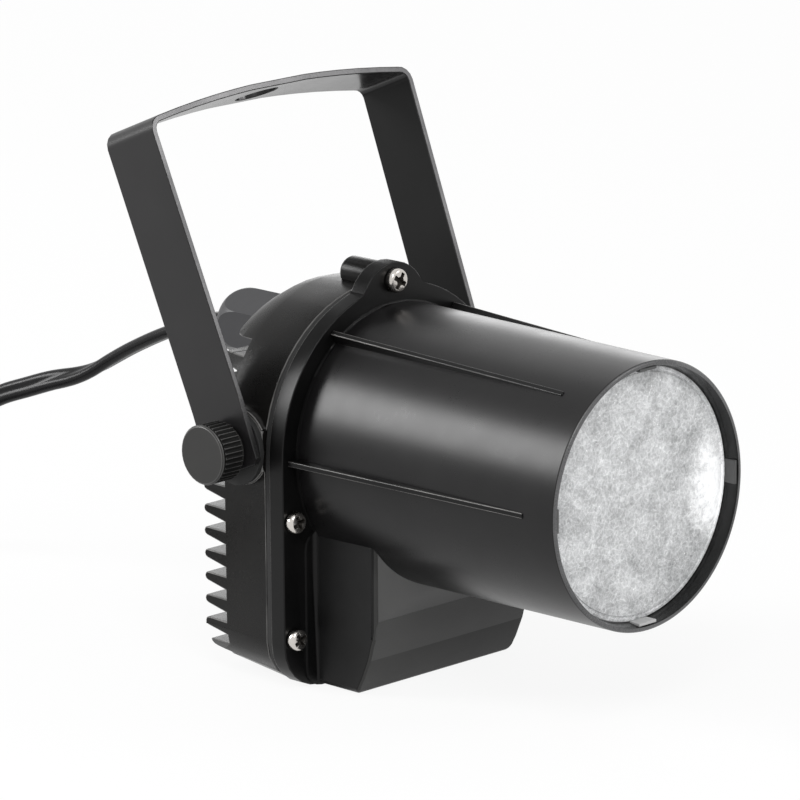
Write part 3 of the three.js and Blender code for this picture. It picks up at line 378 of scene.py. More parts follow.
# A moulded, painted or plated surface: slow colour drift towards a worn colour, uneven gloss, and a
# fine grain with its depth in millimetres. A fade goes over to another colour along an axis,
# between two places in millimetres; here it paints light on the box and shade on the strap. The
# rest are values of the shader's own inputs.
def surface(name, colour, worn, rough, grain, spread=0.1, depth=0.02, fade=None, **fixed):
    material, shader, place = newFinish(name, fixed)
    drift = place.noise(*grainMake["drift"]).limit(*grainMake["driftReach"])
    shade = drift.blend((*colour, 1), (*worn, 1))
    speck = place.noise(grain, *grainMake["speck"])
    if fade:
        axis, start, end, faded = fade
        along = place.node("ShaderNodeSeparateXYZ", None, {0: place}, axis)
        shade = along.limit(start * mm, end * mm).blend(shade, (*faded, 1))
    feed(shader, "Base Color", shade)
    patch = place.noise(*grainMake["patch"])
    feed(shader, "Roughness", rough + spread * (patch - 0.5) + spread * (speck - 0.5))
    feedBump(shader, speck, grainMake["bump"], depth)
    return material


finishMake = {
    # Housings, strap, knobs and cord
    "blackPlastic": {
        "colour": (0.0022, 0.0022, 0.0023), "worn": (0.0048, 0.0046, 0.0046), "rough": 0.32,
        "grain": 5200, "spread": 0.14, "Specular IOR Level": 0.19},
    # Box finishes: the first three fade lighter towards -X as painted light; the upper front steps
    # are also lighter and glossier as painted light, and the sides darker as painted shade
    "boxPlasticPaintedLight": {
        "colour": (0.010, 0.010, 0.0099), "worn": (0.017, 0.017, 0.0167), "rough": 0.38,
        "grain": 5200, "spread": 0.12, "fade": (0, 12, -22, (0.040, 0.040, 0.039)),
        "Specular IOR Level": 0.17},
    "boxUpperPaintedLight": {
        "colour": (0.014, 0.014, 0.0138), "worn": (0.022, 0.022, 0.0217), "rough": 0.42,
        "grain": 5200, "spread": 0.12, "fade": (0, 12, -22, (0.052, 0.052, 0.051)),
        "Specular IOR Level": 0.62},
    "boxMiddlePaintedLight": {
        "colour": (0.012, 0.012, 0.0118), "worn": (0.02, 0.02, 0.0197), "rough": 0.42,
        "grain": 5200, "spread": 0.12, "fade": (0, 12, -22, (0.046, 0.046, 0.045)),
        "Specular IOR Level": 0.34},
    "boxSidePaintedShade": {
        "colour": (0.0045, 0.0045, 0.0046), "worn": (0.009, 0.009, 0.0092), "rough": 0.38,
        "grain": 5200, "spread": 0.12, "Specular IOR Level": 0.2},
    "barrelPlastic": {
        "colour": (0.0045, 0.0042, 0.0045), "worn": (0.0075, 0.0072, 0.0075), "rough": 0.30,
        "grain": 4200, "depth": 0.012, "Specular IOR Level": 0.26},
    "castPaint": {
        "colour": (0.0040, 0.0038, 0.0036), "worn": (0.0075, 0.0070, 0.0066), "rough": 0.29,
        "grain": 4600, "spread": 0.14, "depth": 0.03, "Specular IOR Level": 0.18},
    "strapPaint": {
        "colour": (0.0085, 0.0081, 0.0085), "worn": (0.012, 0.0115, 0.012), "rough": 0.33,
        "grain": 6500, "spread": 0.08, "Specular IOR Level": 0.34},
    # Strap copies: a lighter, glossier one for the underside of the top bar as painted reflection,
    # a darker one for the inside as painted shade
    "strapBelowPaintedReflection": {
        "colour": (0.018, 0.0175, 0.018), "worn": (0.026, 0.0255, 0.026), "rough": 0.25,
        "grain": 6500, "spread": 0.08, "Specular IOR Level": 0.62},
    "strapInsidePaintedShade": {
        "colour": (0.004, 0.004, 0.004), "worn": (0.006, 0.006, 0.006), "rough": 0.4,
        "grain": 6500, "spread": 0.08, "Specular IOR Level": 0.16},
    "knobPlastic": {
        "colour": (0.018, 0.0178, 0.017), "worn": (0.026, 0.0255, 0.0245), "rough": 0.46,
        "grain": 6000, "spread": 0.12, "Specular IOR Level": 0.32},
    # The knobs' grip: a darker copy of the knob finish, as painted shade
    "gripPaintedShade": {
        "colour": (0.005, 0.005, 0.0048), "worn": (0.009, 0.009, 0.0085), "rough": 0.5,
        "grain": 5200, "spread": 0.12, "Specular IOR Level": 0.14},
    "glandPlastic": {
        "colour": (0.018, 0.018, 0.020), "worn": (0.026, 0.026, 0.029), "rough": 0.42,
        "grain": 5200, "spread": 0.12, "Specular IOR Level": 0.5},
    "cordVinyl": {
        "colour": (0.006, 0.006, 0.0065), "worn": (0.010, 0.010, 0.0105), "rough": 0.27,
        "grain": 2600, "spread": 0.12, "Specular IOR Level": 0.17},
    # The bore: darker and glossier than the barrel, as painted shade
    "boreGlossPaintedShade": {
        "colour": (0.002, 0.002, 0.002), "worn": (0.005, 0.005, 0.005), "rough": 0.2,
        "grain": 3600, "depth": 0.01, "Specular IOR Level": 0.35},
    # A dark matt finish for the collar at the barrel's root, as painted shade
    "collarPaintedShade": {
        "colour": (0.002, 0.002, 0.002), "worn": (0.003, 0.003, 0.003), "rough": 0.7,
        "grain": 3600, "depth": 0.01, "Specular IOR Level": 0.08},
    "rubber": {
        "colour": (0.008, 0.008, 0.008), "worn": (0.012, 0.012, 0.012), "rough": 0.75,
        "grain": 4000, "depth": 0.03},
    # Lens catches: a light copy for the bottom catch as painted light, a dark copy for the others
    # as painted shade
    "catchPaintedLight": {
        "colour": (0.4, 0.4, 0.4), "worn": (0.5, 0.5, 0.5), "rough": 0.35, "grain": 3600,
        "depth": 0.01},
    "catchPaintedShade": {
        "colour": (0.05, 0.05, 0.05), "worn": (0.08, 0.08, 0.08), "rough": 0.35, "grain": 3600,
        "depth": 0.01},
    # Edges rubbed bright by handling; the rim's front is lighter from wear and a painted highlight,
    # and the strap's cut faces are a painted highlight
    "blackRubbed": {
        "colour": (0.006, 0.006, 0.006), "worn": (0.15, 0.145, 0.14), "rough": 0.3,
        "grain": 2400, "spread": 0.2},
    "castRubbed": {
        "colour": (0.01, 0.0095, 0.009), "worn": (0.2, 0.195, 0.19), "rough": 0.32,
        "grain": 2000, "spread": 0.2},
    "knobRubbed": {
        "colour": (0.03, 0.03, 0.03), "worn": (0.09, 0.088, 0.085), "rough": 0.36,
        "grain": 2400, "spread": 0.15},
    # The rim's front: rubbed wear and a painted highlight
    "rimRubbedPaintedHighlight": {
        "colour": (0.05, 0.05, 0.052), "worn": (0.12, 0.12, 0.122), "rough": 0.28,
        "grain": 2400, "spread": 0.16},
    # Strap cut faces: lighter as a painted highlight, fading darker towards the pivot as painted
    # shade
    "strapCutPaintedLightAndShade": {
        "colour": (0.10, 0.098, 0.102), "worn": (0.30, 0.295, 0.30), "rough": 0.3,
        "grain": 1200, "spread": 0.2, "fade": (2, 92, 62, (0.012, 0.012, 0.012))},
    # Metals
    "nickelPlate": {
        "colour": (0.66, 0.63, 0.60), "worn": (0.52, 0.49, 0.46), "rough": 0.2, "grain": 3000,
        "spread": 0.12, "depth": 0.01, "Metallic": 1.0},
    "recessDark": {
        "colour": (0.05, 0.045, 0.04), "worn": (0.1, 0.09, 0.08), "rough": 0.5, "grain": 3600,
        "depth": 0.01, "Metallic": 0.6},
    "zincSteel": {
        "colour": (0.42, 0.42, 0.43), "worn": (0.33, 0.33, 0.34), "rough": 0.36, "grain": 3000,
        "spread": 0.16, "Metallic": 1.0},
    "brassTurned": {
        "colour": (0.62, 0.44, 0.18), "worn": (0.5, 0.34, 0.13), "rough": 0.3, "grain": 3000,
        "spread": 0.14, "Metallic": 1.0},
    "machinedMetal": {
        "colour": (0.6, 0.6, 0.61), "worn": (0.5, 0.5, 0.51), "rough": 0.34, "grain": 3000,
        "spread": 0.14, "Metallic": 1.0},
    # Pieces inside the housings
    "clearPlastic": {
        "colour": (0.92, 0.93, 0.95), "worn": (0.86, 0.88, 0.91), "rough": 0.07, "grain": 2500,
        "spread": 0.05, "depth": 0.01, "Transmission Weight": 0.9, "IOR": 1.49},
    "boardGreen": {
        "colour": (0.012, 0.09, 0.035), "worn": (0.018, 0.12, 0.05), "rough": 0.42,
        "grain": 4000, "spread": 0.12},
    "boardWhite": {
        "colour": (0.72, 0.72, 0.69), "worn": (0.8, 0.8, 0.77), "rough": 0.45, "grain": 4000},
    "phosphor": {
        "colour": (0.75, 0.56, 0.12), "worn": (0.85, 0.68, 0.2), "rough": 0.4, "grain": 4000},
    "ferrite": {
        "colour": (0.03, 0.027, 0.025), "worn": (0.045, 0.04, 0.037), "rough": 0.7,
        "grain": 3500, "spread": 0.12, "depth": 0.04},
    "sleeveBlue": {
        "colour": (0.012, 0.022, 0.055), "worn": (0.018, 0.03, 0.07), "rough": 0.3,
        "grain": 3500},
    "terminalGreen": {
        "colour": (0.012, 0.13, 0.05), "worn": (0.02, 0.17, 0.07), "rough": 0.35, "grain": 4000},
    "wireBrown": {
        "colour": (0.08, 0.03, 0.012), "worn": (0.1, 0.04, 0.016), "rough": 0.35, "grain": 4000,
        "depth": 0.01},
    "wireBlue": {
        "colour": (0.02, 0.08, 0.3), "worn": (0.03, 0.1, 0.36), "rough": 0.35, "grain": 4000,
        "depth": 0.01},
    "wireRed": {
        "colour": (0.3, 0.015, 0.01), "worn": (0.36, 0.022, 0.016), "rough": 0.35,
        "grain": 4000, "depth": 0.01},
    "wireBlack": {
        "colour": (0.006, 0.006, 0.006), "worn": (0.01, 0.01, 0.01), "rough": 0.35,
        "grain": 4000, "depth": 0.01},
}
finishes = {name: surface(name, **values) for name, values in finishMake.items()}
print("finishes made:", len(finishes))


# The flat twin lead, from the gland to its coil and the plug
cord = {
    "width": 5.3,
    "thickness": 3.1,
    "groove": 0.24,
    "shoulderAt": 0.45,
    "shoulderDip": 0.28,
    "arcStep": 18,
    "routeParts": 5,
    "twist": 74,
    "twistFrom": (98, 124),
    "twistBack": (142, 168),
    "plainPoints": 8,
    "coilCentre": (-56.0, 170.0),
    "coilRadius": 30.0,
    "coilTurns": 5.25,
    "coilPitch": 5.9,
    "coilLift": 0.8,
    "coilLayer": 4.0,
    "coilTail": 15.0,
    "tailShares": (0.25, 0.5, 1),
    "loopSteps": 24,
    "smooth": 50,
}
cordRoute = [
    (0, 55.1, 76.2), (0, 58.5, 76), (0, 63, 75), (0, 71.1, 72.1), (0, 80.9, 68.3),
    (-0.3, 91.7, 63.1), (-0.8, 97.4, 59.9), (-1.6, 102.5, 56.8), (-2.3, 105.8, 55),
    (-3.2, 110, 53.3), (-4.8, 117.5, 51.1), (-6.4, 125, 48.4), (-8, 132.4, 45.6),
    (-9.2, 139, 42), (-10.4, 147, 36), (-11.3, 154.5, 28.5), (-11.8, 161, 20.5),
    (-12, 167.5, 13), (-12, 174.5, 6.8), (-12, 181, 3), (-12, 187.5, 1.8), (-13.7, 194.5, 1.75),
    (-18.4, 201.3, 1.9), (-25.6, 206.1, 2.1), (-34, 207.75, 2.3), (-42, 207.75, 2.35),
]


# The coil winds in and, one layer up, out again; its tail runs on to the plug
def coilPoints(c):
    middle = c["coilTurns"] / 2
    inner = c["coilRadius"] - c["coilPitch"] * c["coilTurns"] / 4
    base = c["coilLift"] + c["thickness"] / 2
    steps = round(c["coilTurns"] * c["loopSteps"])
    points = []
    for i in range(steps + 1):
        turn = i * c["coilTurns"] / steps
        radius = inner + c["coilPitch"] * abs(turn - middle)
        climb = min(max((turn - middle) * 2 + 0.5, 0), 1)
        angle = math.pi / 2 + turn * 2 * math.pi
        points.append((c["coilCentre"][0] + radius * math.cos(angle),
                       c["coilCentre"][1] + radius * math.sin(angle),
                       base + c["coilLayer"] * (1 - math.cos(climb * math.pi)) / 2))
    x, y, z = points[-1]
    return points + [(x, y - c["coilTail"] * share, z) for share in c["tailShares"]]


cordCoil = coilPoints(cord)
cordPoints = cordRoute + cordCoil


# Points between the route's points, on the same smooth line as the CAD tube
def smoothLine(points, parts):
    route = [Vector(p) for p in points]
    route = [route[0] * 2 - route[1]] + route + [route[-1] * 2 - route[-2]]
    line = []
    for p0, p1, p2, p3 in zip(route, route[1:], route[2:], route[3:]):
        k0, k1, k2 = ((b - a).length ** 0.5 for a, b in ((p0, p1), (p1, p2), (p2, p3)))
        start = (p1 - p0) / k0 - (p2 - p0) / (k0 + k1) + (p2 - p1) / k1
        end = (p2 - p1) / k1 - (p3 - p1) / (k1 + k2) + (p3 - p2) / k2
        for i in range(parts):
            t = i / parts
            line.append((2 * t ** 3 - 3 * t ** 2 + 1) * p1
                        + (t ** 3 - 2 * t ** 2 + t) * k1 * start
                        + (3 * t ** 2 - 2 * t ** 3) * p2 + (t ** 3 - t ** 2) * k1 * end)
    return line + [route[-2]]


# Two round lobes with a shallow groove between them, above and below
def twinSection(c):
    lobe = c["thickness"] / 2
    side = c["width"] / 2 - lobe
    angles = [math.radians(a) for a in range(-90, 91, c["arcStep"])]
    right = [(side + lobe * math.cos(a), lobe * math.sin(a)) for a in angles]
    dip = lobe - c["groove"] * c["shoulderDip"]
    shoulder = [(side * c["shoulderAt"], dip), (0, lobe - c["groove"]),
                (-side * c["shoulderAt"], dip)]
    top = right + shoulder
    return top + [(-x, -z) for x, z in top]


def easeStep(value, low, high):
    t = min(max((value - low) / (high - low), 0), 1)
    return t * t * (3 - 2 * t)


# The section follows the line; between the gland and the floor it turns on its side and back
def makeLead(c):
    line = smoothLine(cordRoute, c["routeParts"])[:-1] + [Vector(p) for p in cordCoil]
    section = twinSection(c)
    count = len(section)
    twistEnd = len(line) - len(cordCoil) - c["plainPoints"]
    corners, faces = [], []
    for i, point in enumerate(line):
        ahead = (line[min(i + 1, len(line) - 1)] - line[max(i - 1, 0)]).normalized()
        up = (Vector((0, 0, 1)) - ahead * ahead.z).normalized()
        side = ahead.cross(up)
        share = easeStep(point.y, *c["twistFrom"]) * (1 - easeStep(point.y, *c["twistBack"]))
        turn = math.radians(c["twist"]) * share if i < twistEnd else 0
        across = side * math.cos(turn) + up * math.sin(turn)
        over = up * math.cos(turn) - side * math.sin(turn)
        corners += [tuple((point + across * x + over * z) * mm) for x, z in section]
    for start in range(0, (len(line) - 1) * count, count):
        for k in range(count):
            n = (k + 1) % count
            faces.append((start + k, start + n, start + count + n, start + count + k))
    last = len(corners) - count
    faces += [tuple(range(count))[::-1], tuple(range(last, last + count))]
    mesh = bpy.data.meshes.new("mainsLead")
    mesh.from_pydata(corners, [], faces)
    piece = bpy.data.objects.new("mainsLead", mesh)
    bpy.context.collection.objects.link(piece)
    mendNormals(piece)
    smooth(piece, c["smooth"])
    return piece


lead = makeLead(cord)
dress(lead, "housing", "cord_black", "cord_run", "cord_coil", finish="cordVinyl")


# The plug, its pins and the tie on the lead
plugMake = {"rounding": 0.35, "corner": 25, "smooth": 40, "pinSmooth": 50}
tieMake = {"rounding": 0.12, "corner": 30, "smooth": 35}


# A copy of a CAD node with rounded edges
def roundedCopy(node, name, c, clamp=True):
    piece = copyNode(node, name)
    bevelEdges(piece, c["rounding"], c["corner"], clamp)
    smooth(piece, c["smooth"])
    return piece


plug = roundedCopy("plug_body", "plugShell", plugMake, clamp=False)
dress(plug, "housing", "cord_black", "plug_body", finish="cordVinyl")
tie = roundedCopy("cord_tie", "leadTie", tieMake)
dress(tie, "housing", "rubber_black", "cord_tie", finish="rubber")
for side in ("left", "right"):
    pin = copyNode(f"plug_pin_{side}", f"plugPin.{side}")
    smooth(pin, plugMake["pinSmooth"])
    dress(pin, "housing", "nickel", f"plug_pin_{side}", finish="nickelPlate")
[tuple(v * mm for v in p) for p in cordPoints]
print("lead and plug made")


# Front housing: flange, driver box and ribs from the CAD solid, with the barrel turned anew
barrel = {
    "grow": 0.1,
    "bore": 30.3,
    "mouth": 31.0,
    "mouthFlare": (0.2, 0.5),
    "lensSeat": 3.6,
    "ledge": 9.6,
    "ledgeReach": 2.7,
    "pullBack": 0.3,
    "rimRound": 0.6,
    "rimRoundStep": 15,
    "rubbedDepth": 0.25,
    "wallRoom": 0.05,
    "stations": (8, 22, 36, 50, 64),
    "overlap": 1.2,
    "steps": 160,
    "smooth": 30,
}
shellMake = {
    "weld": 0.02,
    "frontRounding": 0.3,
    "backRounding": 0.26,
    "ribRounding": 0.2,
    "boxRounding": 0.8,
    # Which edges are rounded: places along Y, heights, and room around the barrel
    "flangeFront": -0.2,
    "flangeMiddle": 1.5,
    "aheadOfFlange": -1.5,
    "rootRoom": 1.5,
    "rimRoom": 0.3,
    "straight": 0.97,
    "ribFoot": 45,
    "boxTop": 39,
    # Which faces get a finish of their own: painted shade on the collar, painted light and painted
    # shade on the box
    "collar": (-1.2, -0.05),
    "collarTop": 76,
    "collarRoom": 1,
    "boxStart": -3.5,
    "boxFaceTop": 40,
    "boxFront": (-21, -15),
    "boxFrontTop": 45,
    "middleSlope": 0.96,
    "upperSlope": 0.998,
    "sideways": 0.8,
    "sideEnd": -19,
    "smooth": 48,
}


def fromAxis(place):
    return math.hypot(place.x, place.z - lamp["axisHeight"])


def besideRoot(place, room):
    return fromAxis(place) > lamp["rootRadius"] + room


def onFlangeFront(middle, along):
    return (shellMake["flangeFront"] < middle.y < shellMake["flangeMiddle"]
            and besideRoot(middle, shellMake["rootRoom"]))


def onFlangeBack(middle, along):
    return middle.y > shellMake["flangeMiddle"] and besideRoot(middle, shellMake["rootRoom"])


def onRib(middle, along):
    return (middle.y < shellMake["aheadOfFlange"] and abs(along.y) > shellMake["straight"]
            and middle.z > shellMake["ribFoot"]
            and fromAxis(middle) > lamp["rimRadius"] + shellMake["rimRoom"])


def onBox(middle, along):
    return (middle.y < shellMake["aheadOfFlange"] and middle.z < shellMake["boxTop"]
            and besideRoot(middle, shellMake["rootRoom"]))


# The collar at the barrel's root, below a height, gets the dark matt finish as painted shade
def onCollar(place, facing):
    low, high = shellMake["collar"]
    return (low < place.y < high and place.z < shellMake["collarTop"]
            and not besideRoot(place, shellMake["collarRoom"]))


# The box faces get the box finish, whose lighter side towards -X is painted light
def onBoxFace(place, facing):
    return (place.y < shellMake["boxStart"] and place.z < shellMake["boxFaceTop"]
            and besideRoot(place, shellMake["collarRoom"]))


# The box's sides get a darker finish, as painted shade
def onBoxSide(place, facing):
    return (onBoxFace(place, facing) and abs(facing.x) > shellMake["sideways"]
            and place.y > shellMake["sideEnd"])


# The box's front bends back in flat steps, and the upper ones are lighter and glossier, as painted
# light
def onBoxFront(steepness):
    low, high = shellMake["boxFront"]
    return lambda place, facing: (facing.y < -steepness and low < place.y < high
                                  and place.z < shellMake["boxFrontTop"])


# The solid's plain tube is drawn back until it ends inside the wall of the new one
def drawTubeBack(piece):
    end = (barrel["ledge"] + barrel["pullBack"] - lamp["barrelLength"]) * mm
    for corner in piece.data.vertices:
        onTube = fromAxis(corner.co / mm) < lamp["rimRadius"] + barrel["grow"] / 2
        if onTube and corner.co.y < end:
            corner.co.y = end
    weld(piece, shellMake["weld"])


shell = copyNode("front_housing", "flangeAndBox")
drawTubeBack(shell)
giveFinishes(shell, "blackPlastic", "blackRubbed", "collarPaintedShade", "boxPlasticPaintedLight", "boxSidePaintedShade",
             "boxUpperPaintedLight", "boxMiddlePaintedLight")
roundEdges(shell, shellMake["frontRounding"], "blackPlastic", onFlangeFront)
roundEdges(shell, shellMake["backRounding"], "blackRubbed", onFlangeBack)
roundEdges(shell, shellMake["ribRounding"], "blackRubbed", onRib)
roundEdges(shell, shellMake["boxRounding"], "blackPlastic", onBox)
# Painted shade on the collar, painted light on the box front and painted shade on the box sides
for finish, where in (("collarPaintedShade", onCollar), ("boxPlasticPaintedLight", onBoxFace),
                      ("boxMiddlePaintedLight", onBoxFront(shellMake["middleSlope"])),
                      ("boxUpperPaintedLight", onBoxFront(shellMake["upperSlope"])),
                      ("boxSidePaintedShade", onBoxSide)):
    paintFaces(shell, finish, where)
smooth(shell, shellMake["smooth"])
dress(shell, "housing", "moulded_black", "front_housing")


def makeBarrel(b):
    rim, root, bore = lamp["rimRadius"] + b["grow"], lamp["rootRadius"] + b["grow"], b["bore"]
    length, edge, ledge, end = lamp["barrelLength"], b["rimRound"], b["ledge"], b["overlap"]
    angles = [math.radians(a) for a in range(0, 91, b["rimRoundStep"])]
    outer = [(rim - edge + edge * math.sin(a), edge - edge * math.cos(a)) for a in angles]
    rows = [(rim + (root - rim) * along / length, along)
            for along in (*b["stations"], length, length + end)]
    flare, flareDepth = b["mouthFlare"]
    inner = [(bore - b["ledgeReach"], length + end), (bore - b["ledgeReach"], ledge),
             (bore, ledge), (bore, b["lensSeat"]), (b["mouth"] - flare, flareDepth),
             (b["mouth"], 0)]
    made = turnPiece("lampBarrel", outer + rows + inner, b["steps"], closed=True)
    lay(made, "+Y", (0, -length, lamp["axisHeight"]))
    smooth(made, b["smooth"])
    giveFinishes(made, "barrelPlastic", "rimRubbedPaintedHighlight", "boreGlossPaintedShade")
    wall = b["mouth"] - b["wallRoom"]
    # Rim front lighter from wear and a painted highlight; the bore inside darker as painted shade
    paintFaces(made, "rimRubbedPaintedHighlight", lambda place, facing:
               place.y < b["rubbedDepth"] - length and fromAxis(place) > wall)
    paintFaces(made, "boreGlossPaintedShade", lambda place, facing:
               place.y < ledge - length and fromAxis(place) < wall)
    return made


tube = makeBarrel(barrel)
dress(tube, "housing", "moulded_black", "front_housing")


# Four small catches that hold the lens; the bottom one is coloured light as painted light, the
# other three dark as painted shade
lensCatch = {
    "reach": 0.35,
    "sunk": 0.4,
    "width": 5.8,
    "length": 3.2,
    "gap": 0.1,
    "rounding": 0.15,
    "angles": (0, 90, 180, 270),
    "finishes": ("catchPaintedShade", "catchPaintedShade", "catchPaintedShade", "catchPaintedLight"),
}


def makeCatch(name, angle, c):
    front = barrel["lensSeat"] - lamp["barrelLength"] - c["gap"]
    made = block(name, (barrel["bore"] - c["reach"], front - c["length"], -c["width"] / 2),
                 (barrel["bore"] + c["sunk"], front, c["width"] / 2))
    bevelEdges(made, c["rounding"])
    made.rotation_euler = (0, math.radians(-angle), 0)
    made.location = (0, 0, lamp["axisHeight"] * mm)
    applyPlace(made)
    smooth(made)
    return made


for number, (angle, finish) in enumerate(zip(lensCatch["angles"], lensCatch["finishes"])):
    piece = makeCatch(f"lensCatch.{number}", angle, lensCatch)
    dress(piece, "housing", "moulded_black", "front_housing", finish=finish)
print("front housing made")


# Rear housing with its fins
rearMake = {"rounding": 0.3, "smooth": 40}
rear = copyNode("rear_housing", "finnedHousing")
giveFinishes(rear, "castPaint", "castRubbed")
roundEdges(rear, rearMake["rounding"], "castRubbed")
smooth(rear, rearMake["smooth"])
dress(rear, "housing", "cast_black", "rear_housing")
print("rear housing made")


# Front lens: a frosted disc with a shallow groove near its edge
lens = {
    "radius": 30.2,
    "thickness": 3.9,
    "rings": (0, 8, 16, 24),
    "groove": ((1.5, 0), (1.3, 0.25), (0.9, 0.3), (0.7, 0)),  # in from the edge, and depth
    "chamfer": 0.2,
    "backChamfer": 0.1,
    "steps": 160,
    "smooth": 40,
}


def makeLens(c):
    edge, thick = c["radius"], c["thickness"]
    face = [(radius, 0) for radius in c["rings"]] + [(edge - x, depth) for x, depth in c["groove"]]
    rim = [(edge - c["chamfer"], 0), (edge, c["chamfer"]), (edge, thick - c["backChamfer"])]
    made = turnPiece("frostedLens", face + rim + [(0, thick)], c["steps"])
    lay(made, "+Y", (0, barrel["lensSeat"] - lamp["barrelLength"], lamp["axisHeight"]))
    smooth(made, c["smooth"])
    return made


# Frosting seen from the front: patches, mottle and grain, a fine web, sparks painted as glints, and
# one soft gleam painted as a highlight; the lens also glows with painted light.
# A noise has its scale, detail, roughness and distortion; a reach gives where it is 0 and 1.
frost = {
    "patches": (110, 5, 0.6, 0.8),
    "mottle": (420, 4, 0.7, 1.2),
    "grain": (1700, 3, 0.8),
    "web": 620,
    "webSquash": (1, 1, 1.15),
    "webReach": (0.09, 0.0),
    "shares": (0.9, 0.75, 0.95, 0.35),  # of patches, mottle, grain and web in the grey
    "lift": 0.45,
    "greyReach": (0.05, 1.05),
    # Sparks are painted glints, the gleam is a painted highlight, and the glow is painted light
    "sparks": 1150,
    "sparkReach": (0.2, 0.05),
    "sparkPatches": (700, 2, 0.5),
    "sparkPatchReach": (0.56, 0.7),
    "sparkShare": 0.8,
    "gleamAt": (26.5, -3),  # to the right of the lamp's axis, and up
    "gleamSquash": 0.7,
    "gleamReach": (10.5, 2),
    "gleamLift": 0.1,
    "dark": (0.19, 0.195, 0.2, 1),
    "light": (0.86, 0.87, 0.88, 1),
    "unlit": (0.05, 0.05, 0.05, 1),
    "lit": (1, 1, 1, 1),
    "glow": 0.28,
    "glowShares": (0.55, 0.9, 1.6),  # of the grey, the sparks and the gleam
    "rough": 0.5,
    "grainGloss": 0.3,
    "pimples": 1300,
    "bumpShares": (0.8, 0.6),  # of mottle and pimples, beside the grain
    "bump": 0.75,
    "bumpDepth": 0.22,
}


def lensFrost(f):
    material, shader, place = newFinish("lensFrost", {
        "Specular IOR Level": 0.5, "Emission Strength": f["glow"]})
    patches, mottle, grain = (place.noise(*f[key]) for key in ("patches", "mottle", "grain"))
    web = place.stretched(f["webSquash"]).cells(f["web"], "DISTANCE_TO_EDGE").limit(*f["webReach"])
    # Sparks: painted glints, bright cells in the colour and the glow
    sparks = (place.cells(f["sparks"]).limit(*f["sparkReach"])
              * place.noise(*f["sparkPatches"]).limit(*f["sparkPatchReach"]))
    # The gleam: a painted highlight, a soft bright patch right of the axis, in colour and glow
    aside, up = f["gleamAt"]
    middle = (aside * mm, 0, (lamp["axisHeight"] + up) * mm * f["gleamSquash"])
    gleam = place.node("ShaderNodeVectorMath", {"operation": "DISTANCE"}, {
        0: place.stretched((1, 0, f["gleamSquash"])), 1: middle}, 1)
    gleam = gleam.limit(*(reach * mm for reach in f["gleamReach"]))
    ofPatches, ofMottle, ofGrain, ofWeb = f["shares"]
    shade = ((patches - 0.5) * ofPatches + (mottle - 0.5) * ofMottle + (grain - 0.5) * ofGrain
             + web * mottle * ofWeb + f["lift"])
    grey = shade + sparks * f["sparkShare"] + gleam * (mottle + f["gleamLift"])
    grey = grey.limit(*f["greyReach"])
    feed(shader, "Base Color", grey.blend(f["dark"], f["light"]))
    # The lens glows as painted light: emission from the grey, the sparks and the gleam, with
    # nothing lit inside it
    ofGrey, ofSparks, ofGleam = f["glowShares"]
    glow = grey * ofGrey + sparks * ofSparks + gleam * mottle * ofGleam
    feed(shader, "Emission Color", glow.blend(f["unlit"], f["lit"]))
    feed(shader, "Roughness", f["rough"] - grain * f["grainGloss"])
    mottleShare, pimpleShare = f["bumpShares"]
    height = grain + mottle * mottleShare + place.cells(f["pimples"]) * pimpleShare
    feedBump(shader, height, f["bump"], f["bumpDepth"])
    return material


finishes["lensFrost"] = lensFrost(frost)
disc = makeLens(lens)
dress(disc, "housing", "lens_frosted", "front_lens", finish="lensFrost")
print("lens made")


# Cross-recess pan screws in the flange
screw = {
    "headRadius": 2.65,
    "headHeight": 2.1,
    "crown": 2.0,
    "skirt": 0.45,  # share of the height below the dome
    "dome": 0.47,
    "domeStep": 18,
    "flat": 0.3,
    "shank": (1.6, 0.6),
    "recess": 1.9,
    "slot": 1.0,
    "depth": 1.5,
    "core": (1.0, 0.25, 2.2, 24),  # radius, how much deeper than the slots, length and steps
    "recessTop": 0.86,
    "edge": 0.07,
    "corner": 40,
    "smooth": 32,
    "stand": 0.3,
    "topScale": 1.12,
    "turnStep": 37,
    "steps": 48,
}
screwPlaces = {"top": (0, 94.7), "middle_left": (-34.4, 41.7), "middle_right": (34.4, 41.7),
               "low_left": (-34.4, 12.9), "low_right": (34.4, 12.9)}


# Each screw is turned to an angle of its own, as screws end up
def makeScrew(name, x, z, scale, c):
    radius, height, deepest = c["headRadius"], c["headHeight"], c["headHeight"] - c["depth"]
    cheek = radius - c["crown"]
    shank, under = c["shank"]
    foot = [(0, -under), (shank, -under), (shank, 0), (radius, 0), (radius, height * c["skirt"])]
    dome = [(c["crown"] + cheek * math.cos(math.radians(a)),
             height * (c["skirt"] + c["dome"] * math.sin(math.radians(a))))
            for a in range(c["domeStep"], 91, c["domeStep"])]
    made = turnPiece(name, foot + dome + [(c["flat"], height), (0, height)], c["steps"])
    for wide, tall in ((c["recess"], c["slot"] / 2), (c["slot"] / 2, c["recess"])):
        cut(made, block("slotTool", (-wide, -tall, deepest), (wide, tall, height + 1)))
    core, drop, length, steps = c["core"]
    cut(made, rod("coreTool", core, deepest - drop, length, steps))
    bevelEdges(made, c["edge"], c["corner"])
    giveFinishes(made, "nickelPlate", "recessDark")
    paintFaces(made, "recessDark", lambda place, facing:
               math.hypot(place.x, place.y) < c["recess"]
               and 0 < place.z < height * c["recessTop"])
    made.rotation_euler = (0, 0, math.radians(int(abs(x) + z) * c["turnStep"] % 90))
    made.scale = (scale, scale, 1)
    applyPlace(made)
    lay(made, "-Y", (x, -c["stand"], z))
    smooth(made, c["smooth"])
    return made


for name, (x, z) in screwPlaces.items():
    piece = makeScrew(f"panScrew.{name}", x, z, screw["topScale"] if name == "top" else 1, screw)
    dress(piece, "housing", "nickel", f"flange_screw_{name}")
print("screws made")


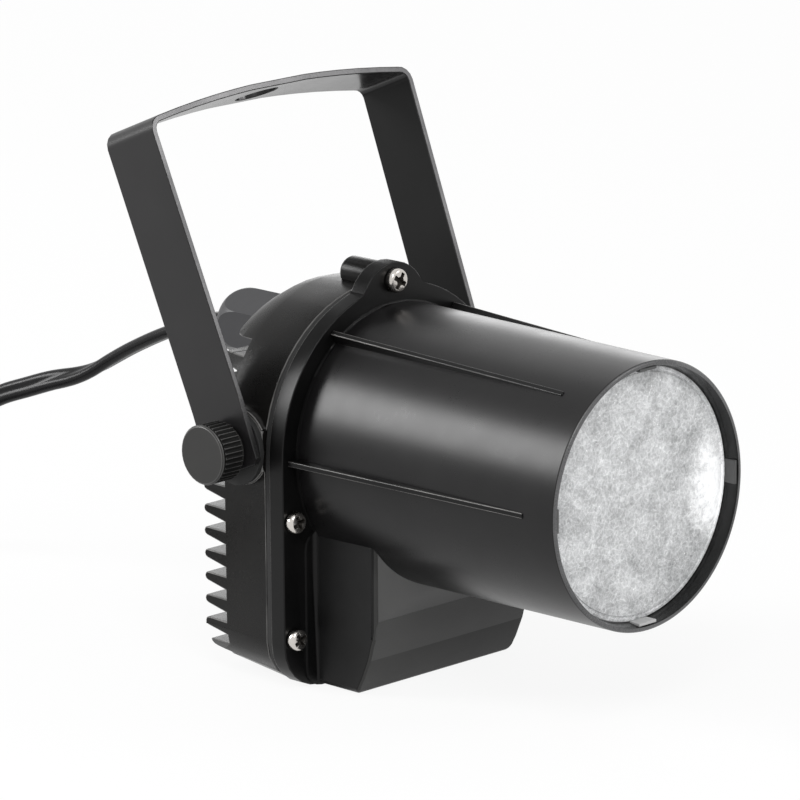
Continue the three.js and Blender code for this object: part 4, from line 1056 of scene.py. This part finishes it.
# Yoke strap: its cut faces are lighter, a painted highlight that fades to painted shade towards the
# pivot; the underside of the top bar is a lighter, glossier copy as a painted reflection, and its
# inside is darker, painted shade
strapMake = {
    "rounding": 0.22,
    "corner": 40,
    "square": 0.97,
    "downward": 0.7,
    "barHeight": 100,
    "smooth": 34,
}
strap = copyNode("yoke", "yokeStrap")
giveFinishes(strap, "strapPaint", "strapCutPaintedLightAndShade", "strapBelowPaintedReflection", "strapInsidePaintedShade")
roundEdges(strap, strapMake["rounding"], "strapPaint", angle=strapMake["corner"])
tilt = math.radians(lamp["yokeTilt"])
across = Vector((0, math.cos(tilt), -math.sin(tilt)))
# Painted highlight on the cut faces, painted reflection below the top bar and painted shade on the
# inside
paintFaces(strap, "strapCutPaintedLightAndShade", lambda place, facing:
           abs(facing.dot(across)) > strapMake["square"])
paintFaces(strap, "strapBelowPaintedReflection", lambda place, facing:
           facing.z < -strapMake["downward"] and place.z > strapMake["barHeight"])
paintFaces(strap, "strapInsidePaintedShade", lambda place, facing:
           abs(facing.x) > strapMake["square"] and facing.x * place.x < 0)
smooth(strap, strapMake["smooth"])
dress(strap, "yoke", "yoke_paint", "yoke")


# Thumb screws with their washers, and the friction washers under the strap
knobMake = {"rounding": 0.14, "segments": 2, "shortest": 0.3, "gripTurn": 0.5, "smooth": 30}
washerMake = {"rounding": 0.12, "corner": 60, "smooth": 40}
padMake = {"rounding": 0.15, "corner": 60, "smooth": 40}
for side in ("left", "right"):
    knob = copyNode(f"thumb_knob_{side}", f"thumbKnob.{side}")
    giveFinishes(knob, "knobPlastic", "knobRubbed", "gripPaintedShade")
    # The knurled grip gets the darker finish as painted shade
    paintFaces(knob, "gripPaintedShade", lambda place, facing: abs(facing.x) < knobMake["gripTurn"])
    roundEdges(knob, knobMake["rounding"], "knobRubbed", segments=knobMake["segments"],
               shortest=knobMake["shortest"])
    smooth(knob, knobMake["smooth"])
    dress(knob, f"knob_{side}", "knob_black", f"thumb_knob_{side}")
    washer = roundedCopy(f"knob_washer_{side}", f"knobWasher.{side}", washerMake)
    dress(washer, f"washer_{side}", "steel_plain", f"knob_washer_{side}", finish="knobPlastic")
    pad = roundedCopy(f"friction_washer_{side}", f"frictionWasher.{side}", padMake)
    dress(pad, "housing", "rubber_black", f"friction_washer_{side}", finish="rubber")
print("yoke and thumb screws made")


# Cable gland: domed hexagon nut on a hexagon collar
gland = {
    "hex": 9.0,
    "hexSides": 6,
    "hexRoom": 1,
    "nutStart": 33.9,
    "nutChamfer": 0.5,
    "shoulder": 46.2,
    "domeEnd": 54.8,
    "domeRadius": 5.4,
    "domePower": 0.8,
    "domeStep": 9,
    "domeEdge": 0.2,
    "mouth": 3.25,
    "mouthDepth": 4,
    "mouthSteps": 48,
    "rounding": 0.3,
    "corner": 20,
    "smooth": 34,
    "steps": 96,
}
collarMake = {"rounding": 0.25, "corner": 40, "smooth": 34}


def makeGlandNut(g):
    start, end, wide, room = g["nutStart"], g["domeEnd"], g["hex"], g["hexRoom"]
    rise, drop = end - g["shoulder"], wide - g["domeRadius"]
    angles = [math.radians(a) for a in range(0, 90, g["domeStep"])]
    dome = [(g["domeRadius"] + drop * math.cos(a) ** g["domePower"],
             g["shoulder"] + rise * math.sin(a)) for a in angles]
    foot = [(0, start), (wide - g["nutChamfer"], start), (wide, start + g["nutChamfer"])]
    tip = [(g["domeRadius"] - g["domeEdge"], end), (0, end)]
    made = turnPiece("glandNut", foot + dome + tip, g["steps"])
    hexagon = rod("hexTool", wide, start - room, end - start + room * 2, g["hexSides"])
    cut(made, hexagon, "INTERSECT")
    mouth = rod("mouthTool", g["mouth"], end - g["mouthDepth"], g["mouthDepth"] * 2,
                g["mouthSteps"])
    cut(made, mouth)
    bevelEdges(made, g["rounding"], g["corner"])
    lay(made, "+Y", (0, 0, lamp["glandHeight"]))
    smooth(made, g["smooth"])
    return made


nut = makeGlandNut(gland)
dress(nut, "housing", "gland_grey", "gland_nut", finish="glandPlastic")
collar = roundedCopy("gland_body", "glandCollar", collarMake, clamp=False)
dress(collar, "housing", "gland_grey", "gland_body", finish="glandPlastic")
print("gland made")


# CAD nodes that keep their shape and get a better finish
kept = {
    "rubber": ("housing_gasket", "lens_gasket", "gland_seal"),
    "machinedMetal": ("heat_spreader",),
    "boardWhite": ("led_board",),
    "phosphor": ("led_emitter",),
    "clearPlastic": ("collimator_lens",),
    "blackPlastic": ("collimator_holder",),
    "boardGreen": ("driver_board",),
    "ferrite": ("driver_transformer", "driver_choke"),
    "sleeveBlue": ("driver_capacitor",),
    "terminalGreen": ("terminal_block",),
    "glandPlastic": ("gland_lock_nut",),
    "cordVinyl": ("inner_lead",),
    "brassTurned": ("pivot_insert_left", "pivot_insert_right"),
    "zincSteel": ("thumb_stud_left", "thumb_stud_right", "led_board_screw_left",
                  "led_board_screw_right", "board_screw_low_left", "board_screw_low_right",
                  "board_screw_high_left", "board_screw_high_right"),
    "wireBrown": ("mains_core_brown",),
    "wireBlue": ("mains_core_blue",),
    "wireRed": ("led_wire_red",),
    "wireBlack": ("led_wire_black",),
}
for finish, nodes in kept.items():
    for node in nodes:
        giveFinishes(bpy.data.objects[node], finish)


# Floor, lights and surroundings. The camera and mirror-like rays see both white; the light that
# they throw on the lamp is weaker.
stage = {
    "floorSize": 40,
    "floorWhite": (0.95, 0.95, 0.95, 1),
    "floorLift": 0.9,
    "white": (1, 1, 1, 1),
    "worldFill": 0.45,
}


def emptyTree(owner):
    owner.use_nodes = True
    owner.node_tree.nodes.clear()
    return Link(owner.node_tree, None)


# 1 for rays that come from the camera, a mirror-like surface or clear plastic, and 0 for others
def directlySeen(start):
    path = start.tree.nodes.new("ShaderNodeLightPath")
    camera, glossy, through = (Link(start.tree, path.outputs[f"Is {kind} Ray"])
                               for kind in ("Camera", "Glossy", "Transmission"))
    return start.maths("MAXIMUM", start.maths("MAXIMUM", camera, glossy), through)


def makeFloor(s):
    pickNothing()
    bpy.ops.mesh.primitive_plane_add(size=s["floorSize"], location=(0, 0, 0))
    floor = bpy.context.object
    floor.name = "paleFloor"
    material = bpy.data.materials.new("floorPaper")
    start = emptyTree(material)
    paper = start.node("ShaderNodeBsdfDiffuse", None, {"Color": s["floorWhite"]})
    glow = start.node("ShaderNodeEmission", None, {"Color": s["white"], "Strength": 1.0})
    start.node("ShaderNodeMixShader", None, {
        0: directlySeen(start) * s["floorLift"], 1: paper, 2: glow}).show(
        "ShaderNodeOutputMaterial")
    floor.data.materials.append(material)


def makeWorld(s):
    world = bpy.data.worlds.new("studioAir")
    bpy.context.scene.world = world
    start = emptyTree(world)
    strength = directlySeen(start) * (1 - s["worldFill"]) + s["worldFill"]
    start.node("ShaderNodeBackground", None, {"Color": s["white"], "Strength": strength}).show(
        "ShaderNodeOutputWorld")


lights = {
    "bandSoftbox": {"at": (-0.9, 1.03, 0.7), "size": 0.55, "power": 14},
    "rimSoftbox": {"at": (1.15, 1.03, 0.3), "size": 0.5, "power": 1.4},
    "roofSoftbox": {"at": (0.75, 0.95, 1.0), "size": 0.7, "power": 0.9},
    "keySoftbox": {"at": (-0.75, -0.9, 1.25), "size": 0.6, "power": 10},
    "sideFill": {"at": (0.9, -1.3, 0.9), "size": 0.5, "power": 6},
}
lightAim = Vector((0, 0, 0.05))


def addLight(name, at, size, power):
    pickNothing()
    bpy.ops.object.light_add(type="AREA", location=at)
    made = bpy.context.object
    made.name = name
    made.data.shape = "SQUARE"
    made.data.size = size
    made.data.energy = power
    made.rotation_euler = (lightAim - Vector(at)).to_track_quat("-Z", "Y").to_euler()


makeFloor(stage)
makeWorld(stage)
for name, settings in lights.items():
    addLight(name, **settings)
bpy.context.scene.view_settings.view_transform = "Standard"
print("stage and lights made")
